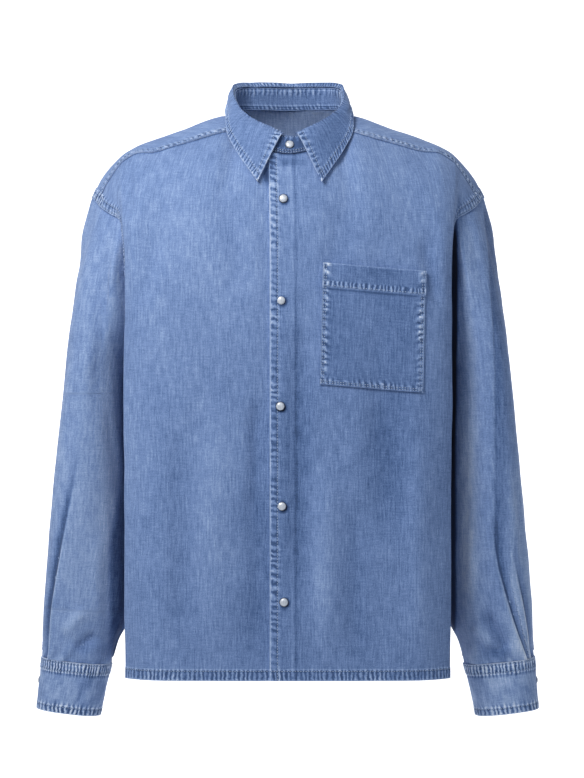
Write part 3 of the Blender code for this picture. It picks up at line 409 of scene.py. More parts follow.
# ---- panels on the wearer's left; those on the right are mirrored ------------------------
def section_net(sections, level, tuck_name, edge, forward):
    """Key points of level half sections, from past the middle to the seam at the side."""
    read = {name: smooth(sections["z"], sections[name], level) for name in sections if name != "z"}
    keys = [
        (-BREAST_X, read["breast_y"]),
        (0.0, read["centre_y"]),
        (BREAST_X, read["breast_y"]),
        (SIDE_X, read["side_y"]),
        (read["corner_x"] - 0.8 * CORNER_RADIUS, read["corner_y"] + forward * CORNER_RADIUS),
        (read["corner_x"], read["corner_y"]),
        (read["tuck_x"], read[tuck_name]),
    ]
    net = [np.stack(np.broadcast_arrays(x, y, level), axis=-1) for x, y in keys]
    return np.stack(net + [edge], axis=1)


def panel(sections, stations, levels, upper_rows, columns_at, tuck_name, low_edge, high_edge,
          top, top_slope, forward):
    """A body panel: level rows up to the chest, then columns that lean back to its top edge."""
    low = low_edge(levels)
    net = section_net(sections, levels, tuck_name, low, forward)
    rows = np.stack([smooth(stations, row, columns_at) for row in net])
    below = np.array([levels[-1] - 0.015, levels[-1]])
    step = section_net(sections, below, tuck_name, low_edge(below), forward)
    chest = [smooth(stations, row, columns_at) for row in step]
    direction = unit(chest[1] - chest[0])
    start = rows[-1]
    chord = np.linalg.norm(top - start, axis=-1, keepdims=True)
    t = (np.arange(1, upper_rows + 1) / upper_rows)[:, None, None]
    upper = hermite(start, direction * chord, top, unit(top_slope) * chord, t)
    pull = ease((np.asarray(columns_at) - stations[-2]) / (1.0 - stations[-2]))[None, :, None]
    upper = upper + (high_edge[:, None, :] - upper[:, -1:, :]) * pull
    return np.concatenate([rows, upper])


def side_edge(levels, start, end, shallow):
    """The side seam at the given levels and, above the underarm, that stretch of armhole."""
    levels = np.asarray(levels, float)
    curve = armhole(np.linspace(start, end, 400), shallow)[0]
    side = smooth(SIDE_SEAM["z"], columns(SIDE_SEAM, "x", "y"), np.minimum(levels, UNDERARM_Z))
    arm = np.stack([np.interp(levels, curve[:, 2], curve[:, axis]) for axis in (0, 1)], -1)
    flat = np.where(levels[:, None] <= UNDERARM_Z, side, arm)
    return np.concatenate([flat, levels[:, None]], axis=1)


def front_grid(shallow):
    """Outer face of a front, from its edge past the middle to the side seam and armhole."""
    front, _, _ = armhole_places(shallow)
    seam_edge = armhole(front, shallow)[0]

    def low_edge(levels):
        return side_edge(levels, 0.0, front[len(FRONT_LEVELS)], shallow)

    stations = np.concatenate([FRONT_NECK_STATIONS, FRONT_SEAM_STATIONS])
    top = np.concatenate([neck_curve("seam", front_neck_stations()),
                          yoke_front_edge(front_places())])
    # The way the columns reach it: at the neck, at the yoke's seam, and turned by the arm.
    lean = ease(np.abs(stations) / 0.35)[:, None]
    slope = (1 - lean) * np.array([0.0, 0.42, 0.90]) + lean * np.array([0.02, 0.72, 0.68])
    outward = ease((stations - 0.60) / 0.40)[:, None]
    slope = slope + outward * np.array([-0.10, 0.05, 0.20])
    grid = panel(FRONT_SECTIONS, FRONT_STATIONS, BODY_LEVELS + FRONT_LEVELS, FRONT_UPPER_ROWS,
                 stations, "tuck_y_shallow" if shallow else "tuck_y", low_edge,
                 seam_edge[len(FRONT_LEVELS) + 1:], top, slope, -1)
    grid[len(BODY_LEVELS) - 1:, -1] = seam_edge
    return grid


def back_stations():
    """Columns of half the back, one below each column of the yoke."""
    places = np.concatenate([YOKE_NECK_PLACES, front_places()])
    seam_x = smooth(YOKE["place"], YOKE["seam_x"], places)
    keys = table("seam_x station", (0.0, 0.0), (0.100, 0.330), (0.177, 0.600), (0.2110, 0.720),
                 (0.2270, 0.84), (0.2390, 1.0))
    return np.interp(seam_x, keys["seam_x"], keys["station"])


def back_grid():
    """Outer face of half the back, from its middle to the side seam and armhole."""
    _, _, back = armhole_places(False)
    seam_end = curve_keys(YOKE, "seam")[-1:]
    seam_edge = np.concatenate([armhole(back, False)[0][::-1], seam_end])

    def low_edge(levels):
        return side_edge(levels, 1.0, back[BACK_UPPER_ROWS - 1], False)

    stations = back_stations()
    places = np.concatenate([YOKE_NECK_PLACES, front_places()])
    top = smooth(YOKE["place"], curve_keys(YOKE, "seam"), places)
    slope = np.tile([0.0, -0.30, 0.95], (len(stations), 1))
    grid = panel(BACK_SECTIONS, BACK_STATIONS, BODY_LEVELS + BACK_LEVELS, BACK_UPPER_ROWS,
                 stations, "tuck_y", low_edge, seam_edge[len(BACK_LEVELS) + 1:], top, slope, 1)
    grid[len(BODY_LEVELS) - 1:, -1] = seam_edge
    return grid


def yoke_grid(shallow):
    """Outer face of the yoke over one shoulder: rows from its front edge to its back seam."""
    places = np.concatenate([YOKE_NECK_PLACES, front_places()])
    keys = [yoke_front_edge(places)]
    for name in ("crest", "blade", "seam"):
        keys.append(smooth(YOKE["place"], curve_keys(YOKE, name), places))
    rows = np.linspace(0.0, 1.0, YOKE_ROW_COUNT + 1)
    grid = smooth(YOKE_ROWS, np.stack(keys), rows)
    front, over, _ = armhole_places(shallow)
    edge = armhole(np.concatenate([front[-1:], over]), shallow)[0]
    pull = ease((places - 0.92) / 0.08)[None, :, None]
    return grid + (edge[:, None, :] - grid[:, -1:, :]) * pull


# ---- sleeves ----------------------------------------------------------------------------
def ring(sections, level, turn):
    """Points round a sleeve or cuff at the given turns (degrees), ring by ring."""
    read = {name: smooth(sections["z"], sections[name], level)[:, None]
            for name in sections if name != "z"}
    centre_x = (read["inner_x"] + read["outer_x"]) / 2
    reach = (read["outer_x"] - read["inner_x"]) / 2
    width = np.sqrt(reach**2 - read["lean"]**2)
    centre_y = (read["front_y"] + read["back_y"]) / 2
    depth = (read["back_y"] - read["front_y"]) / 2
    angle = np.radians(turn)[None, :]
    power = 2.0 / SLEEVE_SQUARENESS
    across = np.sign(np.cos(angle)) * np.abs(np.cos(angle)) ** power
    ahead = np.sign(np.sin(angle)) * np.abs(np.sin(angle)) ** power
    x = centre_x - width * across + read["lean"] * ahead
    y = centre_y - depth * ahead
    z = np.asarray(level, float)[:, None] + read["slope"] * (x - centre_x)
    return np.stack([x, y, z], axis=-1)


def sleeve_turns(shallow):
    """Where the columns of a sleeve start along the armhole."""
    front, over, back = armhole_places(shallow)
    return np.concatenate([front, over, back[:-1]])


def sleeve_grid(shallow):
    """Outer face of a sleeve: rings from the armhole to the cuff, each a closed row."""
    start, out, turn = armhole(sleeve_turns(shallow), shallow)
    top_level = SLEEVE_SECTIONS["z"][0]
    below = ring(SLEEVE_SECTIONS, np.array([top_level, top_level - 0.01]), turn)
    end = below[0]
    end_slope = unit(below[1] - below[0])
    chord = np.linalg.norm(end - start, axis=-1, keepdims=True)
    t = (np.arange(SLEEVE_CAP_ROWS + 1) / SLEEVE_CAP_ROWS)[:, None, None]
    cap = hermite(start, out * chord, end, end_slope * chord, t)
    arm = ring(SLEEVE_SECTIONS, np.array(SLEEVE_LEVELS), turn)
    return np.concatenate([cap, arm])


# ---- what is laid on the panels ----------------------------------------------------------
def face_normals(grid):
    """Normal of the face at each point of a grid."""
    return unit(np.cross(np.gradient(grid, axis=1), np.gradient(grid, axis=0)))


def mirrored(grid):
    return grid * (-1.0, 1.0, 1.0)


def on_side(grid, side):
    """A grid made for the wearer's left, or its mirror image for the right."""
    return mirrored(grid) if side == "right" else grid


def lying_on(grid, x, z):
    """The point of a front's outer face at x and z, and the face's normal there."""
    reach = np.argmax(grid[0, :, 0] > SIDE_X) + 1

    def point(x, z):
        depth = [np.interp(x, row[:reach, 0], row[:reach, 1]) for row in grid]
        height = [np.interp(x, row[:reach, 0], row[:reach, 2]) for row in grid]
        return np.array([x, np.interp(z, height, depth), z])

    step = 0.006
    across = point(x + step, z) - point(x - step, z)
    up = point(x, z + step) - point(x, z - step)
    return point(x, z), unit(np.cross(across, up))


def pocket_places(rows, cols):
    """x and z of a grid over the pocket, bottom row first."""
    across = np.linspace(-0.5, 0.5, cols)[None, :] * POCKET_WIDTH
    up = (np.asarray(rows)[:, None] - 0.5) * POCKET_HEIGHT
    return (POCKET_CENTRE[0] + across * math.cos(POCKET_TURN) - up * math.sin(POCKET_LEAN),
            POCKET_CENTRE[1] + across * math.sin(POCKET_TURN) + up * math.cos(POCKET_LEAN))


def stand_stations():
    """Stations of the stand on one side, point for point with the panels at the neck seam."""
    back = 1.0 - (1.0 - YOKE_NECK_STATION) * np.asarray(YOKE_NECK_PLACES[::-1]) / YOKE_NECK_PLACE
    return np.concatenate([front_neck_stations(), [YOKE_NECK_STATION], back])


def stand_grid():
    """Outer face of the stand: round from the lower front's end to the upper front's end."""
    stations = stand_stations()
    rows = np.array([0.0, 0.35, 0.7, 1.0])[:, None, None]
    upper = neck_curve("seam", stations) * (1 - rows) + neck_curve("top", stations) * rows
    lower = upper - sink_depth(upper[0, :, :1]) * face_normals(upper)
    grid = np.concatenate([mirrored(lower), upper[:, -2::-1]], axis=1)
    return grid + (shifted(grid) - grid) * rows


def sink_depth(x):
    """How far the lower front lies under the upper one, x measured across from the middle."""
    return LAP * (1.0 - ease((x - FLY_EDGE - 0.001) / UNDERFLY_RAMP))


def leaf_grid():
    """Shown face of the leaf: up from the stand, over its fold and down to its outer edge."""
    top = neck_curve("top", LEAF_START_STATION + (1 - LEAF_START_STATION) * LEAF_STATIONS)
    fold = neck_curve("fold", LEAF_STATIONS)
    edge = neck_curve("edge", LEAF_STATIONS)
    along = np.gradient(fold, axis=0)
    across = unit(np.stack([along[:, 1], -along[:, 0], 0.0 * along[:, 0]], axis=-1))
    rise = fold - top
    fall = unit(edge - fold)
    start = top + unit(rise) * 0.0014 - across * WALL
    inside = top + rise * 0.55 - across * 0.0020
    outside = fold + across * LEAF_ROLL + fall * 0.0035
    middle = outside + (edge - outside) * 0.5 + across * 0.0015
    keys = np.stack([start, inside, fold, outside, middle, edge])
    half = smooth((0.0, 0.10, 0.20, 0.30, 0.65, 1.0), keys,
                  (0.0, 0.10, 0.15, 0.20, 0.25, 0.30, 0.44, 0.58, 0.72, 0.86, 1.0))
    return shifted(np.concatenate([mirrored(half), half[:, -2::-1]], axis=1))


def shifted(points):
    """The front of the collar moved over by COLLAR_SHIFT, its back left where it is."""
    points = points.copy()
    points[..., 0] += COLLAR_SHIFT * ease((0.02 - points[..., 1]) / 0.04)
    return points


def cuff_grid():
    """Outer face of a cuff: a band that runs once round and laps over its own start."""
    turns = np.linspace(CUFF_OPENING - CUFF_LAP, CUFF_OPENING + 360.0, 34)
    levels = np.array([CUFF_SECTIONS["z"][0], -0.722, -0.743, CUFF_SECTIONS["z"][-1]])
    grid = ring(CUFF_SECTIONS, levels, turns)
    centre = grid.mean(axis=1, keepdims=True)
    under = 1.0 - ease((turns - CUFF_OPENING - 4.0) / 26.0)
    outward = unit((grid - centre) * (1.0, 1.0, 0.0))
    return grid - outward * (under * LAP * 1.1)[None, :, None]


def cuff_snap_place():
    """Middle of the cuff's lap, and the way it faces."""
    turns = CUFF_OPENING - CUFF_LAP / 2 + np.array([-3.0, 0.0, 3.0])
    grid = ring(CUFF_SECTIONS, np.array([-0.736, -0.733, -0.730]), turns)
    return grid[1, 1], face_normals(grid)[1, 1]


def collar_snap_place():
    """Middle of the stand's front end, and the way it faces."""
    stations = np.array([-0.02, 0.0, 0.02])
    low, high = neck_curve("seam", stations), neck_curve("top", stations)
    centre = (low[1] + high[1]) / 2 + (COLLAR_SHIFT, 0.0, 0.0)
    return centre, unit(np.cross(low[2] - low[0], high[1] - low[1]))


# ---- fine cloth -------------------------------------------------------------------------
CLOTH = 0.0012                # thickness of one ply as it shows
INNER_STRIDE = 3              # the hidden side of a wall has every third row and column
BAND_STEP = 0.0009            # distance of rows or columns inside a stitched band
NOISE_CELLS = 512
# At its low end, far below any dye, the wear is black painted shadow.
WEAR_AND_SHADE_RANGE = (-2.0, 1.3)      # from dye that was never rubbed to thread washed white
SHARP_ANGLE = math.radians(48)


def places(length, step, ends="", band=0.0, stride=INNER_STRIDE):
    """Places along a length, a step apart, and closer in a band at its low or high end."""
    dense = np.linspace(0.0, length, 3000)
    pace = np.full_like(dense, 1.0 / step)
    if "low" in ends:
        pace = np.where(dense < band, 1.0 / BAND_STEP, pace)
    if "high" in ends:
        pace = np.where(dense > length - band, 1.0 / BAND_STEP, pace)
    count = np.concatenate([[0.0], np.cumsum((pace[1:] + pace[:-1]) / 2 * np.diff(dense))])
    number = math.ceil(count[-1] / stride) * stride
    return np.interp(np.linspace(0.0, count[-1], number + 1), count, dense)


def marks(grid, axis):
    """How far along it each row (axis 0) or column (axis 1) of a grid lies, on average."""
    steps = np.linalg.norm(np.diff(grid, axis=axis), axis=2).mean(axis=1 - axis)
    return np.concatenate([[0.0], np.cumsum(steps)])


def run(points, axis):
    """Distance along the rows or columns at each point of a grid, from its first one."""
    steps = np.linalg.norm(np.diff(points, axis=axis), axis=2)
    pad = [(0, 0), (0, 0)]
    pad[axis] = (1, 0)
    return np.pad(np.cumsum(steps, axis=axis), pad)


class Cloth:
    """A piece of cloth: its smooth form, how far each point stands out of it, its wear and its
    painted light and shade.
    """

    def __init__(self, name, grid, out, row_step, col_step, rows="", cols="", band=0.014,
                 stride=INNER_STRIDE, plies=1.0, centred=False):
        self.name = name
        self.stride = stride
        row_marks, col_marks = marks(grid, 0), marks(grid, 1)
        down = places(row_marks[-1], row_step, rows, band, stride)
        across = places(col_marks[-1], col_step, cols, band, stride)
        fine = smooth(row_marks, grid, down)
        self.base = smooth(col_marks, fine.swapaxes(0, 1), across).swapaxes(0, 1)
        self.normals = face_normals(self.base) * out
        self.across = run(self.base, 1)
        self.up = run(self.base, 0)
        shape = self.base.shape[:2]
        # How far both sides stand out of the base, and the shown side alone; the wash's wear with
        # painted light and shade; where each point lies in a seam's ropes and how strongly they
        # show.
        self.form, self.height, self.wear, self.phase, self.roped = np.zeros((5, *shape))
        # How far the nearest pressed pleat is, and how sharp its crease is here.
        self.crease, self.creased = np.ones(shape), np.zeros(shape)
        self.reverse = 0.5        # wear of the hidden side
        self.lines = []           # of stitching: rim, distance from it and stretch along it
        self.centred = centred
        middle = self.across[:, shape[1] // 2][:, None] if centred else 0.0
        self.grain = self.across - middle, self.up
        self.thickness = np.full(shape, CLOTH * plies)
        self.out = out

    def level_grain(self):
        """Lets the warp run straight down, whatever way the rows slant."""
        level = run(self.base * (1.0, 1.0, 0.0), 1)
        self.grain = level - level[:, self.grain[0].shape[1] // 2][:, None] * self.centred, self.up

    def away(self, edge):
        """Distance of each point from a rim: low, high, start or end."""
        return {"low": self.up, "high": self.up[-1:] - self.up,
                "start": self.across, "end": self.across[:, -1:] - self.across}[edge]

    def along(self, edge):
        """How far along a rim each point lies, by the column or row that meets the rim there."""
        rim = {"low": self.across[:1], "high": self.across[-1:],
               "start": self.up[:, :1], "end": self.up[:, -1:]}[edge]
        return np.broadcast_to(rim, self.up.shape)

    def rope(self, phase, strength):
        """Shows the wash's ropes where they are stronger than those already there."""
        self.phase = np.where(strength > self.roped, phase, self.phase)
        self.roped = np.maximum(strength, self.roped)

    def surface(self):
        return self.base + self.normals * (self.form + self.height)[..., None]

    def underside(self):
        return self.base + self.normals * (self.form - self.thickness)[..., None]


def noise(s, size, seed):
    """Smooth noise along a line, -1 to 1, its swells about `size` long."""
    values = np.random.default_rng(seed).uniform(-1.0, 1.0, NOISE_CELLS)
    place = np.asarray(s) / size
    cell = np.floor(place).astype(int)
    t = ease(place - cell)
    return values[cell % NOISE_CELLS] * (1 - t) + values[(cell + 1) % NOISE_CELLS] * t


def noise_over(u, v, size_u, size_v, seed):
    """Smooth noise over a surface, -1 to 1."""
    values = np.random.default_rng(seed).uniform(-1.0, 1.0, (NOISE_CELLS, NOISE_CELLS))
    place_u, place_v = u / size_u, v / size_v
    cell_u, cell_v = np.floor(place_u).astype(int), np.floor(place_v).astype(int)
    t, w = ease(place_u - cell_u), ease(place_v - cell_v)

    def at(i, j):
        return values[(cell_u + i) % NOISE_CELLS, (cell_v + j) % NOISE_CELLS]

    return ((at(0, 0) * (1 - t) + at(1, 0) * t) * (1 - w)
            + (at(0, 1) * (1 - t) + at(1, 1) * t) * w)


def within(s, span):
    """1 inside a span along a seam, with soft ends 8 mm long."""
    if span is None:
        return 1.0
    return ease((s - span[0]) / 0.008 + 0.5) * ease((span[1] - s) / 0.008 + 0.5)


BAND_EDGE = 0.0016            # over which a sewn band falls to the single cloth beside it
ROPE_END = 0.0012             # over which its ropes start at the rim
ROPE_FADE = 0.0045            # and run out beyond the band
RIM_WEAR = 0.0015             # width of the worn rim
SUNK = 0.00035                # depth of a line of stitching
SUNK_WIDTH = 0.0008


def sew(cloth, edge, kind, seed, span=None, period=None):
    """A band of SEAMS along a rim: raised by its plies, roped by the wash, worn at the rim."""
    seam = SEAMS[kind]
    period = period or seam.period
    d, s = cloth.away(edge), cloth.along(edge)
    here = within(s, span)
    inside = (1.0 - ease((d - seam.width) / BAND_EDGE)) * here
    phase = s / period + 0.50 * seam.stray * noise(s, 2.3 * period, seed)
    phase = phase + seam.lean * d / seam.width
    strength = 0.70 + 0.42 * seam.stray * noise(s, 2.7 * period, seed + 1)
    wave = np.sin(2 * math.pi * phase) * strength
    beyond = bell(np.maximum(d - seam.width, 0.0), ROPE_FADE) * (d > seam.width) * here
    cloth.height += inside * (seam.lift + seam.depth * wave)
    cloth.height += seam.beyond * seam.depth * beyond * wave
    shown = np.maximum(inside * ease(d / ROPE_END), seam.beyond * beyond)
    cloth.rope(phase, seam.ropes * strength * shown)
    cloth.wear -= seam.tone * inside * ease(d / RIM_WEAR)
    cloth.wear += seam.rim * bell(d, RIM_WEAR) * here
    for offset in seam.stitches:
        gap = d - offset
        cloth.height -= SUNK * bell(gap, SUNK_WIDTH) * here
        # Darker in the sunk stitching, partly dye kept and partly painted shade, and paler beside
        # it.
        cloth.wear += seam.line * (bell(gap - 0.0014, 0.0010) - 1.25 * bell(gap, 0.0011)) * here
        cloth.lines.append((edge, offset, span))


def fold(cloth, rows, facing=-1, fold_shade=42.0, along=0):
    """Soft troughs (depth above 0) and ridges, laid on the side that faces one way.

    Ridges are painted paler and troughs darker, by the given share for each metre of depth: painted
    light and shade.
    With `along` 0 they are placed in x and z, with 1 in y and z.
    """
    x, z = cloth.base[..., along], cloth.base[..., 2]
    side = ease(cloth.normals[..., 1 - along] * facing / 0.35)
    for x0, z0, x1, z1, width, depth, bend in zip(*rows.values()):
        run_x, run_z = x1 - x0, z1 - z0
        length = math.hypot(run_x, run_z)
        t = ((x - x0) * run_x + (z - z0) * run_z) / length**2
        bow = bend * 4.0 * t * (1.0 - t)
        offset = ((x - x0) * run_z - (z - z0) * run_x) / length - bow
        taper = ease(t / 0.3) * ease((1.0 - t) / 0.3)
        trough = side * taper * depth * bell(offset, width)
        cloth.form -= trough
        cloth.wear -= fold_shade * trough


def shading_and_wash(cloth, rows):
    """Soft patches, laid in x and z, of painted light and shade, and where the wash took more or
    less of the dye.
    """
    x, z = cloth.base[..., 0], cloth.base[..., 2]
    shown = ease(-cloth.normals[..., 1] / 0.35)
    for x0, z0, reach_x, reach_z, amount in zip(*rows.values()):
        cloth.wear += shown * amount * np.exp(-(np.abs((x - x0) / reach_x) ** 2.5
                                                + np.abs((z - z0) / reach_z) ** 2.5))


def roll(cloth, size, depth, seed, by_place=False):
    """The slight unevenness of cloth that hangs."""
    u, v = cloth.across, cloth.up
    if by_place:
        u, v = cloth.base[..., 0], cloth.base[..., 2]
    cloth.form += depth * noise_over(u, v, size * 0.55, size * 1.6, seed)
    cloth.form += depth * 0.35 * noise_over(u, v, size * 0.25, size * 0.5, seed + 1)


# ---- meshes -----------------------------------------------------------------------------
def rim_faces(outer, inner, stride, flip):
    """Faces between a rim of the outer side and the same rim of the coarser inner side."""
    faces = []
    for k in range(len(inner) - 1):
        fine = list(outer[k * stride:(k + 1) * stride + 1])
        face = fine + [inner[k + 1], inner[k]]
        faces.append(face[::-1] if flip else face)
    return faces


def shell(cloth, material, relief_inside=False):
    """The closed wall of a cloth: its shown side, and a plainer one under it."""
    stride = cloth.stride
    outer = cloth.surface()
    under = cloth.underside()
    if relief_inside:
        under = under - cloth.normals * cloth.height[..., None]
    under = under[::stride, ::stride]
    rows, cols = outer.shape[:2]
    top = np.arange(rows * cols).reshape(rows, cols)
    low = np.arange(under[..., 0].size).reshape(under.shape[:2]) + rows * cols
    forward = cloth.out > 0

    def quads(index, ahead):
        a, b, c, d = index[:-1, :-1], index[:-1, 1:], index[1:, 1:], index[1:, :-1]
        order = (a, b, c, d) if ahead else (d, c, b, a)
        return np.stack(order, axis=-1).reshape(-1, 4)

    faces = quads(top, forward).tolist() + quads(low, not forward).tolist()
    faces += rim_faces(top[0], low[0], stride, forward)
    faces += rim_faces(top[-1], low[-1], stride, not forward)
    faces += rim_faces(top[:, 0], low[:, 0], stride, not forward)
    faces += rim_faces(top[:, -1], low[:, -1], stride, forward)
    points = np.concatenate([outer.reshape(-1, 3), under.reshape(-1, 3)])

    kept = np.full(cloth.wear.shape, 1.0 if relief_inside else 0.0)
    kept[[0, -1]] = 1.0
    kept[:, [0, -1]] = 1.0

    def both(values, inner=None):
        inner = values if inner is None else inner
        return np.concatenate([values.ravel(), inner[::stride, ::stride].ravel()])

    piece = mesh_object(cloth.name + "_cloth", points, faces, material)
    offset = place_in_weave(cloth.name)
    add_uv(piece.data, both(cloth.grain[0]) + offset, both(cloth.grain[1]) + offset * 0.7)
    wear = np.clip(cloth.wear, *WEAR_AND_SHADE_RANGE)
    add_values(piece.data, "wear", both(wear, wear * kept + cloth.reverse * (1.0 - kept)))
    add_values(piece.data, "phase", both(cloth.phase))
    add_values(piece.data, "roped", both(cloth.roped, cloth.roped * kept))
    if cloth.creased.any():
        add_values(piece.data, "crease", both(cloth.crease))
        add_values(piece.data, "creased", both(cloth.creased, cloth.creased * 0.0))
    return piece


def add_values(data, name, values):
    layer = data.attributes.new(name, "FLOAT", "POINT")
    layer.data.foreach_set("value", values.astype(np.float32))


def place_in_weave(name):
    """Where a piece is cut from the cloth, so that no two show the same slubs."""
    return (sum((index + 3) * ord(letter) for index, letter in enumerate(name)) % 97) * 0.031


def mesh_object(name, points, faces, *materials):
    data = bpy.data.meshes.new(name)
    data.from_pydata(points.tolist(), [], faces)
    data.update()
    for material in materials:
        data.materials.append(material)
    data.shade_smooth()
    data.set_sharp_from_angle(angle=SHARP_ANGLE)
    piece = bpy.data.objects.new(name, data)
    bpy.context.scene.collection.objects.link(piece)
    return piece


def add_uv(data, u, v):
    layer = data.uv_layers.new(name="cloth")
    corner = np.empty(len(data.loops), np.int32)
    data.loops.foreach_get("vertex_index", corner)
    layer.data.foreach_set("uv", np.stack([u[corner], v[corner]], -1).ravel().astype(np.float32))


# ---- stitches ---------------------------------------------------------------------------
STITCH = 0.0026               # length of one stitch
STITCH_PITCH = 0.0034         # from one to the next
THREAD = 0.00036              # radius
STITCH_SIDES = 5


def read_at(place, at, rows):
    """Rows of numbers that lie at the places `at`, read at a place between them."""
    return np.array([np.interp(place, at, column) for column in rows.T])


def line_on(cloth, edge, offset, span):
    """Points and normals along a line that keeps its distance from a rim of the cloth."""
    grid = np.concatenate([cloth.away(edge)[..., None], cloth.along(edge)[..., None],
                           cloth.surface(), cloth.normals], axis=-1)
    if edge in ("low", "high"):
        grid = grid.swapaxes(0, 1)
    found = []
    for row in grid:
        row = row[np.argsort(row[:, 0])]
        if offset <= row[-1, 0]:
            found.append(read_at(offset, row[:, 0], row[:, 1:]))
    found = np.array(found)
    if span is not None:
        found = found[(found[:, 0] > span[0]) & (found[:, 0] < span[1])]
    return found[:, 1:4], unit(found[:, 4:])


def bead_faces(first):
    """Faces of one stitch: from its first tip over two rings to its other tip."""
    near, far = first + 1, first + 1 + STITCH_SIDES
    faces = []
    for turn in range(STITCH_SIDES):
        after = (turn + 1) % STITCH_SIDES
        faces.append((first, near + after, near + turn))
        faces.append((near + turn, near + after, far + after, far + turn))
        faces.append((far + turn, far + after, far + STITCH_SIDES))
    return faces


def stitch_mesh(name, lines, material):
    """Stitches along lines, as small pointed beads of thread half sunk in the cloth."""
    verts, faces = [], []
    for points, ways in lines:
        if len(points) < 2:
            continue
        steps = np.linalg.norm(np.diff(points, axis=0), axis=1)
        at = np.concatenate([[0.0], np.cumsum(steps)])
        for middle in np.arange(STITCH_PITCH * 0.7, at[-1] - STITCH_PITCH * 0.5, STITCH_PITCH):
            start, near, far, end = [read_at(middle + share * STITCH, at, points)
                                     for share in (-0.5, -0.25, 0.25, 0.5)]
            way = unit(read_at(middle, at, ways))
            side = np.cross(way, end - start)
            side = side / max(np.linalg.norm(side), 1e-9)
            faces += bead_faces(len(verts))
            verts.append(start - way * THREAD * 0.7)
            for spot in (near, far):
                for turn in range(STITCH_SIDES):
                    angle = 2 * math.pi * turn / STITCH_SIDES
                    verts.append(spot + way * THREAD * (0.35 + math.cos(angle))
                                 + side * THREAD * 1.1 * math.sin(angle))
            verts.append(end - way * THREAD * 0.7)
    return mesh_object(name, np.array(verts), faces, material)


def stitched(cloth, material):
    """The stitches of a piece of cloth, or None where it has no lines of them."""
    if not cloth.lines:
        return None
    lines = [line_on(cloth, *line) for line in cloth.lines]
    piece = stitch_mesh(cloth.name + "_stitches", lines, material)
    return piece


# ---- materials --------------------------------------------------------------------------
class Graph:
    """Short calls for a material's nodes."""

    def __init__(self, name):
        self.material = bpy.data.materials.new(name)
        self.material.use_nodes = True
        self.tree = self.material.node_tree
        self.shader = self.tree.nodes["Principled BSDF"]

    def node(self, kind, **settings):
        made = self.tree.nodes.new(kind)
        for name, value in settings.items():
            setattr(made, name, value)
        return made

    def put(self, socket, value):
        if hasattr(value, "is_output"):
            self.tree.links.new(value, socket)
        else:
            socket.default_value = value

    def math(self, operation, a, b=0.0, c=0.0):
        made = self.node("ShaderNodeMath", operation=operation)
        for socket, value in zip(made.inputs, (a, b, c)):
            self.put(socket, value)
        return made.outputs[0]

    def noise(self, vector, scale, detail=2.0, roughness=0.5):
        """Noise whose spots are about `scale` (u, v) metres large, -1 to 1 or so."""
        stretch = self.node("ShaderNodeVectorMath", operation="MULTIPLY")
        self.put(stretch.inputs[0], vector)
        stretch.inputs[1].default_value = (1.0 / scale[0], 1.0 / scale[1], 1.0)
        made = self.node("ShaderNodeTexNoise", noise_dimensions="2D")
        self.put(made.inputs["Vector"], stretch.outputs[0])
        made.inputs["Scale"].default_value = 1.0
        made.inputs["Detail"].default_value = detail
        made.inputs["Roughness"].default_value = roughness
        return self.math("MULTIPLY_ADD", made.outputs[0], 4.0, -2.0)

    def bell(self, value, centre, width):
        """A bump of height 1 at `centre`."""
        offset = self.math("MULTIPLY_ADD", value, 1.0 / width, -centre / width)
        squared = self.math("MULTIPLY", offset, offset)
        return self.math("EXPONENT", self.math("MULTIPLY", squared, -1.0))

    def total(self, start, *parts):
        """`start`, and each value of `parts` times its share."""
        for value, share in parts:
            start = self.math("MULTIPLY_ADD", value, share, start)
        return start

    def shade(self, name, value):
        """Gives one of the shader's inputs a number, a colour or another node's output."""
        self.put(self.shader.inputs[name], value)

    def ramp(self, value, stops):
        made = self.node("ShaderNodeValToRGB")
        self.put(made.inputs[0], value)
        elements = made.color_ramp.elements
        while len(elements) < len(stops):
            elements.new(0.5)
        for element, (place, colour) in zip(elements, stops):
            element.position = place
            element.color = (*colour, 1.0)
        return made.outputs[0]


# From painted black shadow, past the troughs that keep their indigo, to ridges washed nearly white.
DENIM_STOPS = (
    (0.00, (0.003, 0.008, 0.030)),
    (0.06, (0.022, 0.048, 0.130)),
    (0.25, (0.070, 0.132, 0.300)),
    (0.50, (0.168, 0.262, 0.505)),
    (0.75, (0.335, 0.450, 0.700)),
    (1.00, (0.640, 0.730, 0.900)),
)
WARP_SLUB = (0.0021, 0.021)   # width and length of a thick place in an upright thread
WEFT_SLUB = (0.013, 0.0021)
THREADS = (0.0014, 0.0016)
BLOTCH = (0.010, 0.018)
CLOUD = (0.050, 0.100)
ROPE_STRAY = (0.007, 0.007)   # swells in which the ropes of a seam wander
ROPE_PATCH = (0.006, 0.005)   # and in which they fade
# Across a pressed pleat: where a painted shade or highlight lies, how wide it is and how much it
# adds.
CREASE_SHADING = ((0.0008, 0.0014, -0.55), (0.0042, 0.0036, -0.16), (-0.0018, 0.0014, 0.28))


